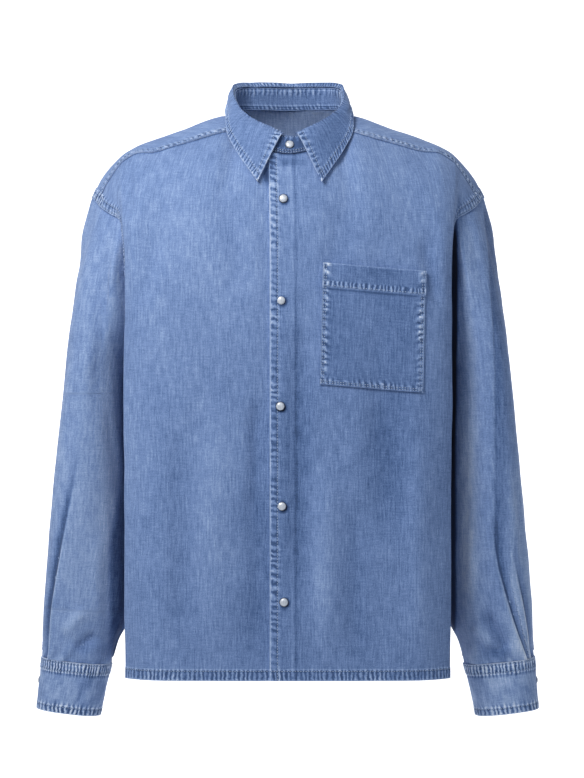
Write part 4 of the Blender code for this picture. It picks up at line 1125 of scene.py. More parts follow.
def denim_material():
    g = Graph("washed_denim")
    uv = g.node("ShaderNodeUVMap", uv_map="cloth").outputs[0]
    wear, phase, roped, crease, creased = [
        g.node("ShaderNodeAttribute", attribute_name=name).outputs["Fac"]
        for name in ("wear", "phase", "roped", "crease", "creased")]
    warp = g.noise(uv, WARP_SLUB, 2.0, 0.6)
    weft = g.noise(uv, WEFT_SLUB, 2.0, 0.6)
    threads = g.noise(uv, THREADS, 1.0)
    turn = g.math("MULTIPLY", g.total(phase, (g.noise(uv, ROPE_STRAY), 0.20)), 2 * math.pi)
    rungs = g.math("MULTIPLY", g.math("SINE", turn), roped)
    rungs = g.math("MULTIPLY", rungs, g.total(1.0, (g.noise(uv, ROPE_PATCH), 0.45)))
    tone = g.total(0.5, (warp, 0.095), (weft, 0.050), (threads, 0.070),
                   (g.noise(uv, BLOTCH), 0.032), (g.noise(uv, CLOUD), 0.030),
                   (wear, 0.32), (rungs, 0.33))
    for centre, width, amount in CREASE_SHADING:
        line = g.math("MULTIPLY", g.bell(crease, centre, width), creased)
        tone = g.total(tone, (line, amount))
    tone = g.math("MAXIMUM", tone, 0.15)
    # Below -1.2 the colour darkens further towards black: painted shadow in slits and under the
    # collar.
    painted_black_shade = g.math("MINIMUM", g.math("ADD", wear, 1.2), 0.0)
    g.shade("Base Color", g.ramp(g.total(tone, (painted_black_shade, 0.22)), DENIM_STOPS))
    relief = g.total(g.math("MULTIPLY", warp, 0.5), (threads, 0.6), (weft, 0.35), (rungs, 1.2))
    bump = g.node("ShaderNodeBump")
    bump.inputs["Strength"].default_value = 0.55
    bump.inputs["Distance"].default_value = 0.00022
    g.put(bump.inputs["Height"], relief)
    g.shade("Normal", bump.outputs[0])
    g.shade("Roughness", g.total(0.86, (threads, 0.03)))
    g.shade("Specular IOR Level", 0.20)
    g.shade("Sheen Weight", 0.10)
    g.shade("Sheen Roughness", 0.6)
    return g.material


def thread_material():
    g = Graph("pale_thread")
    place = g.node("ShaderNodeNewGeometry").outputs["Position"]
    tone = g.total(0.5, (g.noise(place, (0.004, 0.004)), 0.12))
    g.shade("Base Color", g.ramp(tone, ((0.0, (0.20, 0.29, 0.48)), (1.0, (0.52, 0.62, 0.80)))))
    g.shade("Roughness", 0.75)
    return g.material


def metal_material(name, dark, light, roughness, metallic):
    g = Graph(name)
    place = g.node("ShaderNodeNewGeometry").outputs["Position"]
    stain = g.total(0.5, (g.noise(place, (0.0016, 0.0016), 3.0), 0.18))
    g.shade("Base Color", g.ramp(stain, ((0.0, dark), (1.0, light))))
    g.shade("Roughness", g.total(roughness, (stain, 0.10)))
    g.shade("Metallic", metallic)
    return g.material


# ---- snaps ------------------------------------------------------------------------------
SNAP_TURNS = 40
# Radius and height shares of the dome, and of the ring that its rolled lip sits in.
SNAP_DOME = ((0.0, 1.00), (0.20, 0.990), (0.38, 0.950), (0.54, 0.880), (0.67, 0.780), (0.78, 0.640),
             (0.855, 0.480), (0.885, 0.340), (0.885, 0.22), (0.0, 0.22))
SNAP_LIP = ((0.0, 0.14), (0.865, 0.14), (0.90, 0.22), (0.94, 0.26), (0.975, 0.24), (1.0, 0.17),
            (0.99, 0.06), (0.96, -0.15), (0.0, -0.15))


def lathe(profile, centre, normal, first):
    """A closed form turned about its axis, on which the profile starts and ends."""
    side = np.cross(normal, (0.0, 0.0, 1.0))
    side = side / np.linalg.norm(side)
    up = np.cross(side, normal)
    verts, rings = [], []
    for share, height in profile:
        turns = SNAP_TURNS if share else 1
        rings.append((first + len(verts), turns))
        for turn in range(turns):
            angle = 2 * math.pi * turn / SNAP_TURNS
            verts.append(centre + normal * height * SNAP_HEIGHT + SNAP_RADIUS * share
                         * (math.cos(angle) * side + math.sin(angle) * up))
    faces = []
    for (low, low_turns), (high, high_turns) in zip(rings, rings[1:]):
        for turn in range(SNAP_TURNS):
            corners = (low + turn % low_turns, high + turn % high_turns,
                       high + (turn + 1) % high_turns, low + (turn + 1) % low_turns)
            faces.append(tuple(dict.fromkeys(corners)))
    return verts, faces


def snap(node, centre, normal, cap, ring_shade):
    """A pearly domed cap in its rolled ring, coloured near black as painted shadow."""
    base = np.asarray(centre) + normal * SEAM_GAP
    verts, faces = lathe(SNAP_DOME, base, normal, 0)
    split = len(faces)
    more, ring_faces = lathe(SNAP_LIP, base, normal, len(verts))
    piece = mesh_object(node + "_detail", np.array(verts + more), faces + ring_faces, cap, ring_shade)
    index = np.zeros(split + len(ring_faces), np.int32)
    index[split:] = 1
    piece.data.polygons.foreach_set("material_index", index)
    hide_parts(node)
    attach(piece, "root")


# ---- the shirt --------------------------------------------------------------------------
# Creases: from (x0, z0) to (x1, z1), half width, depth (ridges below 0) and bow.
FRONT_FOLDS = table(
    "x0      z0      x1      z1      width   depth   bend",
    (0.0180, -0.2300, 0.0150, -0.6600, 0.0140, 0.0048, 0.003),
    (0.0520, -0.4200, 0.0500, -0.7150, 0.0170, -0.0051, 0.004),
    (0.1150, -0.3300, 0.1220, -0.5600, 0.0260, 0.0054, -0.006),
    (0.0880, -0.4700, 0.0860, -0.7150, 0.0150, 0.0033, 0.003),
    (0.1600, -0.3900, 0.1650, -0.7150, 0.0160, -0.0030, 0.003),
    (0.1700, -0.1550, 0.1900, -0.2600, 0.0100, 0.0033, 0.004),
    (0.0700, -0.1050, 0.0450, -0.2300, 0.0180, 0.0027, -0.006),
    (-0.0350, -0.3500, -0.0380, -0.5400, 0.0120, 0.0054, 0.003),
    (-0.0420, -0.4700, -0.0430, -0.7150, 0.0190, 0.0051, -0.003),
    (-0.0850, -0.3600, -0.0900, -0.7150, 0.0240, -0.0042, 0.006),
    (-0.1350, -0.3900, -0.1320, -0.6800, 0.0170, 0.0033, -0.005),
    (-0.1990, -0.0700, -0.1985, -0.1500, 0.0090, 0.0030, 0.001),
    (-0.1650, -0.1500, -0.1850, -0.2600, 0.0110, 0.0030, -0.004),
    (-0.0700, -0.1050, -0.0500, -0.2500, 0.0180, 0.0027, 0.006),
)
# Painted shadow under the collar's points and the stand, painted shade over the half turned from
# the light; darker along the placket, partly less worn and partly painted shade; the rest lighter
# or darker wash.
FRONT_SHADING_AND_WASH = table(
    "x        z        reach_x  reach_z  amount",
    (0.0000, -0.4200, 0.0240, 0.2600, -0.22),
    (-0.0300, -0.5200, 0.0200, 0.1300, -0.18),
    (0.0100, -0.4300, 0.0200, 0.0700, -0.10),
    (0.1100, -0.4500, 0.1100, 0.1900, -0.30),
    (0.1000, -0.7200, 0.1400, 0.1100, -0.20),
    (0.1000, -0.2400, 0.1000, 0.0800, -0.10),
    (-0.1100, -0.6800, 0.1400, 0.1400, -0.16),
    (0.1300, -0.4000, 0.0350, 0.0700, -0.10),
    (0.0400, -0.6000, 0.0110, 0.0700, 0.20),
    (-0.1450, -0.1900, 0.0500, 0.0600, 0.05),
    (0.0850, -0.5000, 0.0250, 0.0700, 0.10),
    (-0.0262, -0.0890, 0.0040, 0.0105, -1.60),
    (-0.0205, -0.0740, 0.0040, 0.0085, -1.20),
    (-0.1000, -0.4500, 0.1000, 0.1500, -0.10),
    (-0.1200, -0.1500, 0.0900, 0.0700, 0.09),
    (0.0020, -0.0715, 0.0180, 0.0055, -0.75),
)
SNAP_SHADE = (0.0013, -0.0014, 0.0066, -1.7)     # beside a snap: where, how wide, how dark
# Painted shade on both sides of the leaf, deeper on the side turned from the light.
LEAF_SHADING = table(
    "x        z        reach_x  reach_z  amount",
    (-0.0600, -0.0600, 0.0600, 0.1500, -0.26),
    (0.0600, -0.0600, 0.0500, 0.1500, -0.62),
)
# Painted light beside the slits and over the arms' fronts, painted shade in the hollows above the
# cuffs, and paler puffs by the cuffs.
SLEEVE_SHADING_AND_WASH = table(
    "x        z        reach_x  reach_z  amount",
    (0.2270, -0.4600, 0.0110, 0.2100, 0.70),
    (0.2300, -0.2000, 0.0150, 0.0900, 0.12),
    (0.2680, -0.6900, 0.0170, 0.0065, -0.60),
    (0.2930, -0.6800, 0.0080, 0.0130, 0.35),
    (0.2370, -0.6900, 0.0090, 0.0090, 0.30),
    (0.2520, -0.6650, 0.0150, 0.0080, 0.20),
    (0.2330, -0.6300, 0.0120, 0.0250, -0.20),
    (-0.2600, -0.4500, 0.0500, 0.2800, 0.34),
    (-0.2500, -0.6850, 0.0300, 0.0070, -0.25),
    (-0.2260, -0.4500, 0.0120, 0.1800, 0.45),
    (0.2240, -0.4600, 0.0070, 0.2100, 0.15),
)
BACK_FOLDS = table(
    "x0       z0       x1       z1      width   depth   bend",
    (-0.1350, -0.1000, -0.1050, -0.4500, 0.0170, 0.0078, 0.010),
    (-0.1120, -0.1400, -0.0850, -0.4900, 0.0150, -0.0055, 0.010),
    (0.1350, -0.1000, 0.1120, -0.4000, 0.0160, 0.0074, -0.009),
    (0.1060, -0.1300, 0.0900, -0.4600, 0.0150, -0.0050, -0.006),
    (-0.0450, -0.3000, -0.0600, -0.7250, 0.0180, 0.0066, -0.006),
    (0.0450, -0.3400, 0.0620, -0.7250, 0.0190, 0.0070, 0.008),
    (0.0050, -0.1200, -0.0030, -0.5200, 0.0200, -0.0056, 0.005),
    (0.0300, -0.1100, 0.0250, -0.2300, 0.0090, 0.0050, 0.003),
    (-0.0300, -0.1100, -0.0260, -0.2500, 0.0090, 0.0050, -0.003),
    (-0.1500, -0.4400, -0.1400, -0.7250, 0.0150, 0.0060, 0.004),
    (-0.1050, -0.5300, -0.0980, -0.7250, 0.0150, -0.0045, 0.003),
    (0.1480, -0.4100, 0.1500, -0.7250, 0.0160, 0.0058, -0.005),
    (0.1060, -0.5000, 0.1040, -0.7250, 0.0150, -0.0042, -0.004),
    (-0.1880, -0.1650, -0.1480, -0.3100, 0.0110, 0.0068, -0.009),
    (0.1900, -0.1700, 0.1460, -0.3300, 0.0110, 0.0064, 0.009),
)
SLEEVE_LEFT_FOLDS = table(
    "x0      z0       x1      z1      width   depth   bend",
    (0.2350, -0.2100, 0.2300, -0.4200, 0.0120, 0.0031, 0.003),
    (0.2480, -0.6300, 0.2850, -0.6880, 0.0065, 0.0060, 0.005),
    (0.2450, -0.6860, 0.2790, -0.6790, 0.0055, 0.0034, 0.004),
    (0.2350, -0.6500, 0.2600, -0.6800, 0.0080, -0.0040, 0.002),
    (0.2300, -0.5300, 0.2420, -0.6600, 0.0110, -0.0025, 0.002),
    (0.2880, -0.4600, 0.3000, -0.5900, 0.0060, 0.0036, -0.002),
)
SLEEVE_RIGHT_FOLDS = table(
    "x0       z0       x1       z1      width   depth   bend",
    (-0.2350, -0.1700, -0.2420, -0.4000, 0.0130, 0.0031, -0.004),
    (-0.2600, -0.2500, -0.2750, -0.4600, 0.0100, 0.0025, 0.003),
    (-0.2380, -0.6650, -0.2700, -0.6880, 0.0080, 0.0052, 0.002),
    (-0.2500, -0.6300, -0.2850, -0.6700, 0.0090, -0.0036, 0.003),
    (-0.2350, -0.5200, -0.2420, -0.6600, 0.0110, -0.0025, 0.002),
)
SLEEVE_BACK_FOLDS = table(
    "x0      z0       x1      z1      width   depth   bend",
    (0.2450, -0.1500, 0.2500, -0.3700, 0.0130, 0.0070, 0.006),
    (0.2650, -0.2000, 0.2720, -0.4200, 0.0120, -0.0048, 0.005),
    (0.2150, -0.2500, 0.2350, -0.4700, 0.0110, 0.0062, -0.005),
    (0.2750, -0.3800, 0.2850, -0.5900, 0.0110, 0.0060, 0.005),
    (0.2400, -0.4600, 0.2520, -0.6700, 0.0120, 0.0066, 0.005),
    (0.2620, -0.5200, 0.2700, -0.6800, 0.0100, -0.0045, 0.003),
    (0.2350, -0.3300, 0.2600, -0.3900, 0.0090, 0.0045, -0.006),
)
# Up the outer side of a sleeve, where y and z place them instead.
SLEEVE_SIDE_FOLDS = table(
    "y0      z0       y1      z1      width   depth   bend",
    (0.0100, -0.1500, 0.0200, -0.3600, 0.0120, 0.0062, 0.005),
    (0.0350, -0.2600, 0.0300, -0.4800, 0.0130, -0.0050, 0.004),
    (-0.0050, -0.3600, 0.0050, -0.5800, 0.0110, 0.0056, 0.006),
    (0.0200, -0.3300, -0.0100, -0.4000, 0.0090, 0.0044, -0.004),
    (0.0120, -0.5000, 0.0080, -0.6700, 0.0100, 0.0058, -0.004),
)

FACING = 0.0310               # width of the turned-back edge of the upper front
PAST_ALL = 9.0                # end of a stretch that runs on to the end of its rim

# The sewn bands.  In metres: how wide a band is, how far apart and how deep its ropes are, and
# how far its plies lift it.  As shares: the wear of its rim, the slant of its ropes, the dye it
# keeps, the strength of its ropes in it and beyond it, and how clear its stitched lines and how
# uneven its ropes are.  Last, how far from the rim its lines of stitching run.
SEAM_COLUMNS = "width period depth lift rim lean tone ropes beyond line stray stitches".split()
SEAMS = {name: SimpleNamespace(**dict(zip(SEAM_COLUMNS, row))) for name, *row in (
    ("hem", .0130, .0056, .00050, .0003, .90, .10, .20, 1.00, .15, .95, .6, (.0121,)),
    ("armhole", .0135, .0060, .00045, .0010, .90, .30, .15, 1.35, .45, .80, 1.0, (.0022, .0098)),
    ("fly", .0098, .0088, .00050, .0004, 1.45, .20, .10, .80, .45, .70, 1.0, (.0094,)),
    ("yoke front", .0075, .0080, .00050, .0009, .75, .30, .10, 1.00, .45, .65, 1.0, (.0018, .0067)),
    ("yoke back", .0075, .0070, .00045, .0009, .70, .30, .10, 1.00, .45, .65, 1.0, (.0016, .0067)),
    ("cuff top", .0128, .0050, .00055, .0006, 1.30, .10, .20, 1.80, .80, .95, .5, (.0024, .0122)),
    ("cuff edge", .0088, .0060, .00055, .0003, .90, .05, .20, 1.75, .80, 1.00, .6, (.0082,)),
    ("cuff lap", .0072, .0052, .00040, .0003, .35, .30, .20, 1.00, .45, .65, 1.0, (.0018, .0066)),
    ("placket", .0040, .0050, .00030, .0002, .50, .30, .20, 1.00, .45, .65, 1.0, (.0017,)),
    ("stand foot", .0048, .0056, .00030, .0005, .90, .30, .20, 1.00, .45, .90, 1.0, (.0014, .0044)),
    ("stand top", .0085, .0062, .00040, .0002, .90, .05, -.10, 1.00, .45, .65, 1.0, (.0016,)),
    ("leaf edge", .0100, .0052, .00052, .0003, 1.10, .30, .00, .95, .45, .65, .8, (.0090,)),
    ("leaf front", .0078, .0080, .00052, .0003, 1.15, -.30, .00, 1.00, .45, .65, 1.0, (.0068,)),
    ("leaf foot", .0060, .0046, .00040, .0002, .20, .30, .20, 1.00, .45, .65, 1.0, (.0012,)),
    ("pocket side", .0070, .0092, .00045, .0002, 1.15, .25, -.05, 1.20, .45, .65, 1.0,
     (.0018, .0042)),
    ("pocket foot", .0070, .0075, .00045, .0002, .80, .30, .05, 1.10, .45, .65, 1.0,
     (.0018, .0040)),
)}


def above_underarm(cloth):
    """The stretch of a body panel's outer rim that is sewn to the sleeve."""
    return float(np.interp(UNDERARM_Z, cloth.base[:, -1, 2], cloth.up[:, -1])) + 0.004, PAST_ALL


def front(name, grid, out, seed):
    cloth = Cloth(name, grid, out, row_step=0.0030, col_step=0.00125, rows="lowhigh",
                  cols="startend", band=0.0165)
    cloth.level_grain()
    roll(cloth, 0.075, 0.0012, 11, by_place=True)
    fold(cloth, FRONT_FOLDS)
    shading_and_wash(cloth, FRONT_SHADING_AND_WASH)
    x, z, facing = cloth.base[..., 0], cloth.base[..., 2], cloth.normals[..., 1]
    # Painted shadow of each snap on the cloth, to its lower right.
    across, down, radius, amount = SNAP_SHADE
    for snap_x, snap_z in SNAP_PLACES:
        reach = np.hypot(x - snap_x - across, z - snap_z - down)
        cloth.wear += amount * bell(reach, radius, 6) * (facing < 0.0)
    hem(cloth, seed)
    # Painted shade below the collar near the neck, and a dark painted line of shade along the top
    # edge under the seams above it.
    neck = ease((0.080 - np.abs(x)) / 0.010)
    top = cloth.away("high")
    cloth.wear -= 0.65 * neck * bell(top, 0.0050) + 1.4 * bell(top, 0.0020)
    # Painted shade on the sides of the front that turn in towards the sleeves.
    tucked_shade = ease((np.abs(x) - 0.15) / 0.03) * ease((0.45 - np.abs(facing)) / 0.35)
    cloth.wear -= 0.85 * tucked_shade * ease((-0.12 - z) / 0.05)
    sew(cloth, "end", "armhole", seed + 3, above_underarm(cloth))
    return cloth


def hem(cloth, seed):
    """The lower rim, turned up inside and stitched."""
    cloth.thickness += CLOTH * (1.0 - ease((cloth.away("low") - SEAMS["hem"].width) / 0.001))
    sew(cloth, "low", "hem", seed)


def fronts():
    upper, lower = front_grid(False), front_grid(True)
    lower = mirrored(lower - sink_depth(lower[..., :1]) * face_normals(lower))
    left = front("front_left", upper, 1, 11)
    sew(left, "start", "fly", 21)
    past_facing = left.away("start") - FACING
    left.height += 0.00035 * (1.0 - ease(past_facing / 0.002))
    left.wear += 0.22 * bell(past_facing + 0.0030, 0.0028)
    left.wear -= 0.34 * bell(past_facing - 0.0010, 0.0022)
    left.thickness += 0.5 * CLOTH * (1.0 - ease(past_facing / 0.001))
    return left, front("front_right", lower, -1, 41)


def back_panel():
    half = back_grid()
    grid = np.concatenate([mirrored(half)[:, :0:-1], half], axis=1)
    cloth = Cloth("back", grid, -1, row_step=0.0034, col_step=0.0017, rows="lowhigh",
                  cols="startend", band=0.0165, centred=True)
    cloth.level_grain()
    roll(cloth, 0.085, 0.0013, 61)
    fold(cloth, BACK_FOLDS, 1, fold_shade=55.0)
    hem(cloth, 62)
    for index, edge in enumerate(("start", "end")):
        sew(cloth, edge, "armhole", 63 + index, above_underarm(cloth))
    return cloth


def yoke_panel():
    grid = np.concatenate([mirrored(yoke_grid(True))[:, :0:-1], yoke_grid(False)], axis=1)
    cloth = Cloth("yoke", grid, 1, row_step=0.0024, col_step=0.0015, rows="lowhigh",
                  cols="startend", centred=True)
    cloth.reverse = 0.38
    roll(cloth, 0.08, 0.0010, 71)
    seam, whole = front_seam_length(), cloth.across[0, -1]
    for index, span in enumerate(((0.0, seam), (whole - seam, PAST_ALL))):
        sew(cloth, "low", "yoke front", 72 + index, span)
    sew(cloth, "high", "yoke back", 74)
    for index, edge in enumerate(("start", "end")):
        sew(cloth, edge, "armhole", 75 + index)
    return cloth


def front_seam_length():
    """Length of the yoke's front seam on one side, past the neck."""
    edge = yoke_front_edge(front_places())
    return float(np.linalg.norm(np.diff(edge, axis=0), axis=1).sum())


def press_pleats(cloth, pleats, shade):
    """Knife pleats: a raised fold whose crisp edge drops into the hollow outside it, with painted
    shade in the hollow.
    """
    x, z = np.abs(cloth.base[..., 0]), cloth.base[..., 2]
    front_side = ease((0.012 - cloth.base[..., 1]) / 0.02)
    foot_z = PLEAT_HEIGHTS[-1]
    for *run_x, depth, top_z in zip(*pleats.values()):
        offset = x - smooth(PLEAT_HEIGHTS, run_x, np.clip(z, foot_z, -0.36))
        strength = ease((top_z - z) / (0.75 * (top_z - foot_z))) * front_side
        ridge = 0.45 * bell(np.minimum(offset, 0.0), 0.0120)
        hollow = -0.50 * bell(np.maximum(offset, 0.0), 0.0080)
        step = ease(offset / 0.0065 + 0.5)
        cloth.form += strength * depth * (ridge * (1.0 - step) + hollow * step)
        above = ease((top_z + 0.045 - z) / 0.10) * ease((z + 0.690) / 0.060) * front_side
        cloth.wear -= shade * above * bell(offset - 0.0034, 0.0040)
        nearer = np.abs(offset) < np.abs(cloth.crease)
        cloth.crease = np.where(nearer, offset, cloth.crease)
        cloth.creased = np.where(nearer, strength, cloth.creased)


def round_grain(cloth, centre_x, centre_y, radius):
    """Lines up the weave with an axis that the cloth goes round: round it and down it."""
    x, y, z = cloth.base[..., 0], cloth.base[..., 1], cloth.base[..., 2]
    turn = np.unwrap(np.arctan2(y - centre_y, centre_x - x), axis=1)
    cloth.grain = radius * turn, -z


# Down the front of the left sleeve: the line past which it lies a little lower.
OUTER_FOLD = table(
    "z       x",
    (-0.120, 0.2500), (-0.180, 0.2535), (-0.324, 0.2598), (-0.421, 0.2598), (-0.572, 0.2612),
)


def outer_fold_shade(cloth):
    """The outer part of the left sleeve, which lies a little lower and is darker with painted
    shade.
    """
    x, z = cloth.base[..., 0], cloth.base[..., 2]
    beyond = x - np.interp(-z, -OUTER_FOLD["z"], OUTER_FOLD["x"])
    reach = ease((-0.112 - z) / 0.020) * ease((z + 0.62) / 0.10) * (cloth.normals[..., 1] < 0.0)
    lower = reach * ease(beyond / 0.0035 + 0.5) * bell(np.maximum(beyond, 0.0), 0.017)
    cloth.wear -= (0.70 - 0.22 * ease((-0.36 - z) / 0.10)) * lower
    cloth.form -= 0.0012 * lower


def pucker(cloth, seed):
    """The small gathers of a sleeve above its cuff and below its armhole."""
    end, top = cloth.away("high"), cloth.away("low")
    cloth.form += 0.0013 * bell(end, 0.020) * noise(cloth.across, 0.0095, seed + 9)
    cloth.wear += 0.5 * bell(end, 0.006) * noise(cloth.across, 0.0050, seed + 7)
    cloth.height -= 0.0004 * bell(top, 0.004)
    cloth.height += 0.0005 * bell(top, 0.012) * noise(cloth.across, 0.006, seed + 5)
    # Painted shade along the top rim, under the lapped armhole band.
    cloth.wear -= 0.45 * bell(top, 0.0022)


def left_sleeve_light_and_shade(cloth):
    """Painted light and shade on its front: black painted shadow in the slit beside the body,
    painted light along both sides of it.
    """
    x, z = cloth.base[..., 0], cloth.base[..., 2]
    slit_shadow = 2.1 * (1.0 - ease((x - 0.2120) / 0.0035)) * ease((-0.08 - z) / 0.10)
    inner = 0.42 * bell(np.maximum(x - 0.2250, 0.0), 0.013) * ease((-0.27 - z) / 0.33)
    outer = 0.55 * ease((x - 0.272) / 0.014) * ease((-0.42 - z) / 0.08)
    return inner + outer - slit_shadow


def right_sleeve_light_and_shade(cloth):
    """Painted light and shade on its front: black painted shadow in the slit, which leans outward
    low down, and painted light by the armpit.
    """
    z = cloth.base[..., 2]
    inward = -cloth.base[..., 0] - 0.2085 - 0.0130 * ease((-0.47 - z) / 0.09)
    slit_shadow = 1.1 * (1.0 - ease(inward / 0.008)) * ease((-0.26 - z) / 0.12)
    armpit_light = ease((0.75 + cloth.normals[..., 1]) / 0.5) * ease(-inward / 0.008 + 1.6)
    return 0.85 * armpit_light * bell(z + 0.225, 0.080, 4) - slit_shadow


def sleeve(side, pleats, folds, pleat_shade, seed):
    right = side == "right"
    grid = sleeve_grid(right)
    grid = on_side(np.concatenate([grid, grid[:, :1]], axis=1), side)
    cloth = Cloth("sleeve_" + side, grid, 1 if right else -1, row_step=0.0029, col_step=0.0016,
                  rows="lowhigh", band=0.010)
    outward, z = (-1.0 if right else 1.0), cloth.base[..., 2]
    middle = (SLEEVE_SECTIONS["inner_x"] + SLEEVE_SECTIONS["outer_x"]) / 2
    centre = np.interp(-z, -SLEEVE_SECTIONS["z"], middle) - 0.10 * np.maximum(z + 0.36, 0.0)
    round_grain(cloth, outward * centre, 0.018, 0.052)
    roll(cloth, 0.065, 0.0012, seed)
    fold(cloth, folds, fold_shade=75.0)
    hidden = {name: values * (outward if name in ("x0", "x1", "bend") else 1.0)
              for name, values in SLEEVE_BACK_FOLDS.items()}
    fold(cloth, hidden, 1, fold_shade=60.0)
    fold(cloth, SLEEVE_SIDE_FOLDS, outward, fold_shade=60.0, along=1)
    shading_and_wash(cloth, SLEEVE_SHADING_AND_WASH)
    press_pleats(cloth, pleats, pleat_shade)
    pucker(cloth, seed)
    if not right:
        outer_fold_shade(cloth)
    before = ease((0.030 - cloth.base[..., 1]) / 0.030)
    cloth.wear += before * (right_sleeve_light_and_shade(cloth) if right else left_sleeve_light_and_shade(cloth))
    return cloth


def cuff(side, wash_out, period, seed):
    cloth = Cloth("cuff_" + side, on_side(cuff_grid(), side), 1 if side == "right" else -1,
                  row_step=0.0016, col_step=0.0013, rows="lowhigh", cols="startend",
                  band=0.0145, plies=1.7, centred=True)
    roll(cloth, 0.030, 0.0010, seed)
    cloth.wear += wash_out + 0.30 * noise_over(cloth.across, cloth.up, 0.006, 0.009, seed + 3)
    cloth.wear += 0.28 * noise_over(cloth.across, cloth.up, 0.014, 0.022, seed + 5)
    sew(cloth, "low", "cuff top", seed, period=period)
    # A painted shadow under the puckers below the top band's lower stitching.
    cloth.wear -= 0.75 * bell(cloth.up - 0.0160, 0.0018)
    sew(cloth, "high", "cuff edge", seed + 2)
    sew(cloth, "end", "cuff lap", seed + 4)
    return cloth


NECK_GRAIN_Y = -0.01          # of the axis that the collar's weave goes round
FOLD_PRESS = 0.0050           # how far the fold is pressed out at each side


def widened(grid, share):
    """The collar's fold, pressed flatter at its sides than it is worn in."""
    x = grid[..., 0]
    wider = grid.copy()
    wider[..., 0] += FOLD_PRESS * share * np.sign(x) * ease((np.abs(x) - 0.010) / 0.040)
    return wider


def stand_piece():
    rise = np.linspace(0.0, 1.0, 4)[:, None]
    cloth = Cloth("collar_stand", widened(stand_grid(), rise), -1, row_step=0.0012,
                  col_step=0.0014, rows="lowhigh", cols="startend", band=0.006, stride=1,
                  plies=1.2, centred=True)
    from_end = np.minimum(cloth.away("start"), cloth.away("end"))
    # Painted shade over the stand, deepest at its front ends between the leaf's points.
    cloth.wear -= 0.35 + 0.80 * (1.0 - ease((from_end - 0.040) / 0.020))
    round_grain(cloth, 0.0, NECK_GRAIN_Y, 0.072)
    sew(cloth, "low", "stand foot", 81)
    sew(cloth, "high", "stand top", 83)
    return cloth


def leaf_piece():
    grid = leaf_grid()
    up = run(grid, 0)
    crest = np.take_along_axis(up, np.argmax(grid[..., 2], axis=0)[None], 0)
    grid = widened(grid, 1.0 - ease((up - crest) / 0.010 + 0.5))
    cloth = Cloth("collar_leaf", grid, 1, row_step=0.0014, col_step=0.0013, rows="lowhigh",
                  cols="startend", band=0.010, plies=1.2, centred=True)
    round_grain(cloth, 0.0, NECK_GRAIN_Y, 0.080)
    roll(cloth, 0.035, 0.0005, 91)
    shading_and_wash(cloth, LEAF_SHADING)
    sew(cloth, "high", "leaf edge", 92)
    past_fold = float(cloth.up[np.argmax(cloth.base[:, 0, 2]), 0]) + 0.004
    for index, edge in enumerate(("start", "end")):
        sew(cloth, edge, "leaf front", 94 + index, (past_fold, PAST_ALL))
    sew(cloth, "low", "leaf foot", 97)
    return cloth


def pocket(on):
    """The pocket, laid over the front that it is sewn on."""
    x, z = pocket_places(np.linspace(0.0, 1.0, 130), 109)
    cloth = Cloth("chest_pocket", laid_over(on, x, z), 1, row_step=0.0012, col_step=0.0013,
                  rows="lowhigh", cols="startend", band=0.0085)
    cloth.base = cloth.base + cloth.normals * (POCKET_GAP + WALL)
    cloth.wear -= 0.46 + 0.14 * noise_over(cloth.across, cloth.up, 0.045, 0.050, 109)
    for index, edge in enumerate(("start", "end")):
        sew(cloth, edge, "pocket side", 101 + index)
    sew(cloth, "low", "pocket foot", 105)
    pocket_top(cloth)
    return cloth


def pocket_top(cloth):
    """The pocket's folded top hem, its line of stitching and the tacks at its corners."""
    top = cloth.away("high")
    from_line = POCKET_BAND - top
    cloth.height += 0.0011 * ease((from_line + 0.0006) / 0.0012)
    cloth.wear += 0.90 * bell(top, 0.0011)
    inside = ease(from_line / 0.0015) * (1.0 - ease((from_line - 0.0060) / 0.0035))
    phase = cloth.across / 0.0056 + 0.5 * noise(cloth.across, 0.014, 107)
    cloth.rope(phase, inside)
    cloth.height += 0.00040 * inside * np.sin(2 * math.pi * phase)
    cloth.wear += 0.65 * bell(from_line - 0.0004, 0.0009)
    # A dark painted line of shade just below the folded top hem's edge.
    cloth.wear -= 0.75 * bell(from_line + 0.0022, 0.0013)
    cloth.lines.append(("high", POCKET_BAND - 0.0022, None))
    for side in ("start", "end"):
        tack = ease((0.0060 - np.abs(cloth.away(side) - 0.0052)) / 0.0016)
        tack = tack * ease((0.0110 - np.abs(top - 0.0065)) / 0.0060)
        cloth.wear += 0.55 * tack
        cloth.height += 0.0005 * tack
    cloth.height += 0.0008 * bell(top, 0.02) * np.sin(math.pi * cloth.across / cloth.across[:, -1:])


def laid_over(cloth, x, z):
    """Points of a front's shown face at the given x and z."""
    surface = cloth.surface()
    low, high = z.min() - 0.01, z.max() + 0.01
    level = surface[:, surface.shape[1] // 3, 2]
    rows = surface[(level > low) & (level < high)]
    reach = int(np.argmax(rows[0, :, 0] > SIDE_X)) + 1
    flat_x, flat_z = x.ravel(), z.ravel()
    depth = np.stack([np.interp(flat_x, row[:reach, 0], row[:reach, 1]) for row in rows])
    height = np.stack([np.interp(flat_x, row[:reach, 0], row[:reach, 2]) for row in rows])
    above = np.clip((height < flat_z).sum(axis=0), 1, len(rows) - 1)
    pick = np.arange(len(flat_x))
    h0, h1 = height[above - 1, pick], height[above, pick]
    t = np.clip((flat_z - h0) / (h1 - h0), 0.0, 1.0)
    y = depth[above - 1, pick] * (1 - t) + depth[above, pick] * t
    return np.stack([x, y.reshape(x.shape), z], axis=-1)


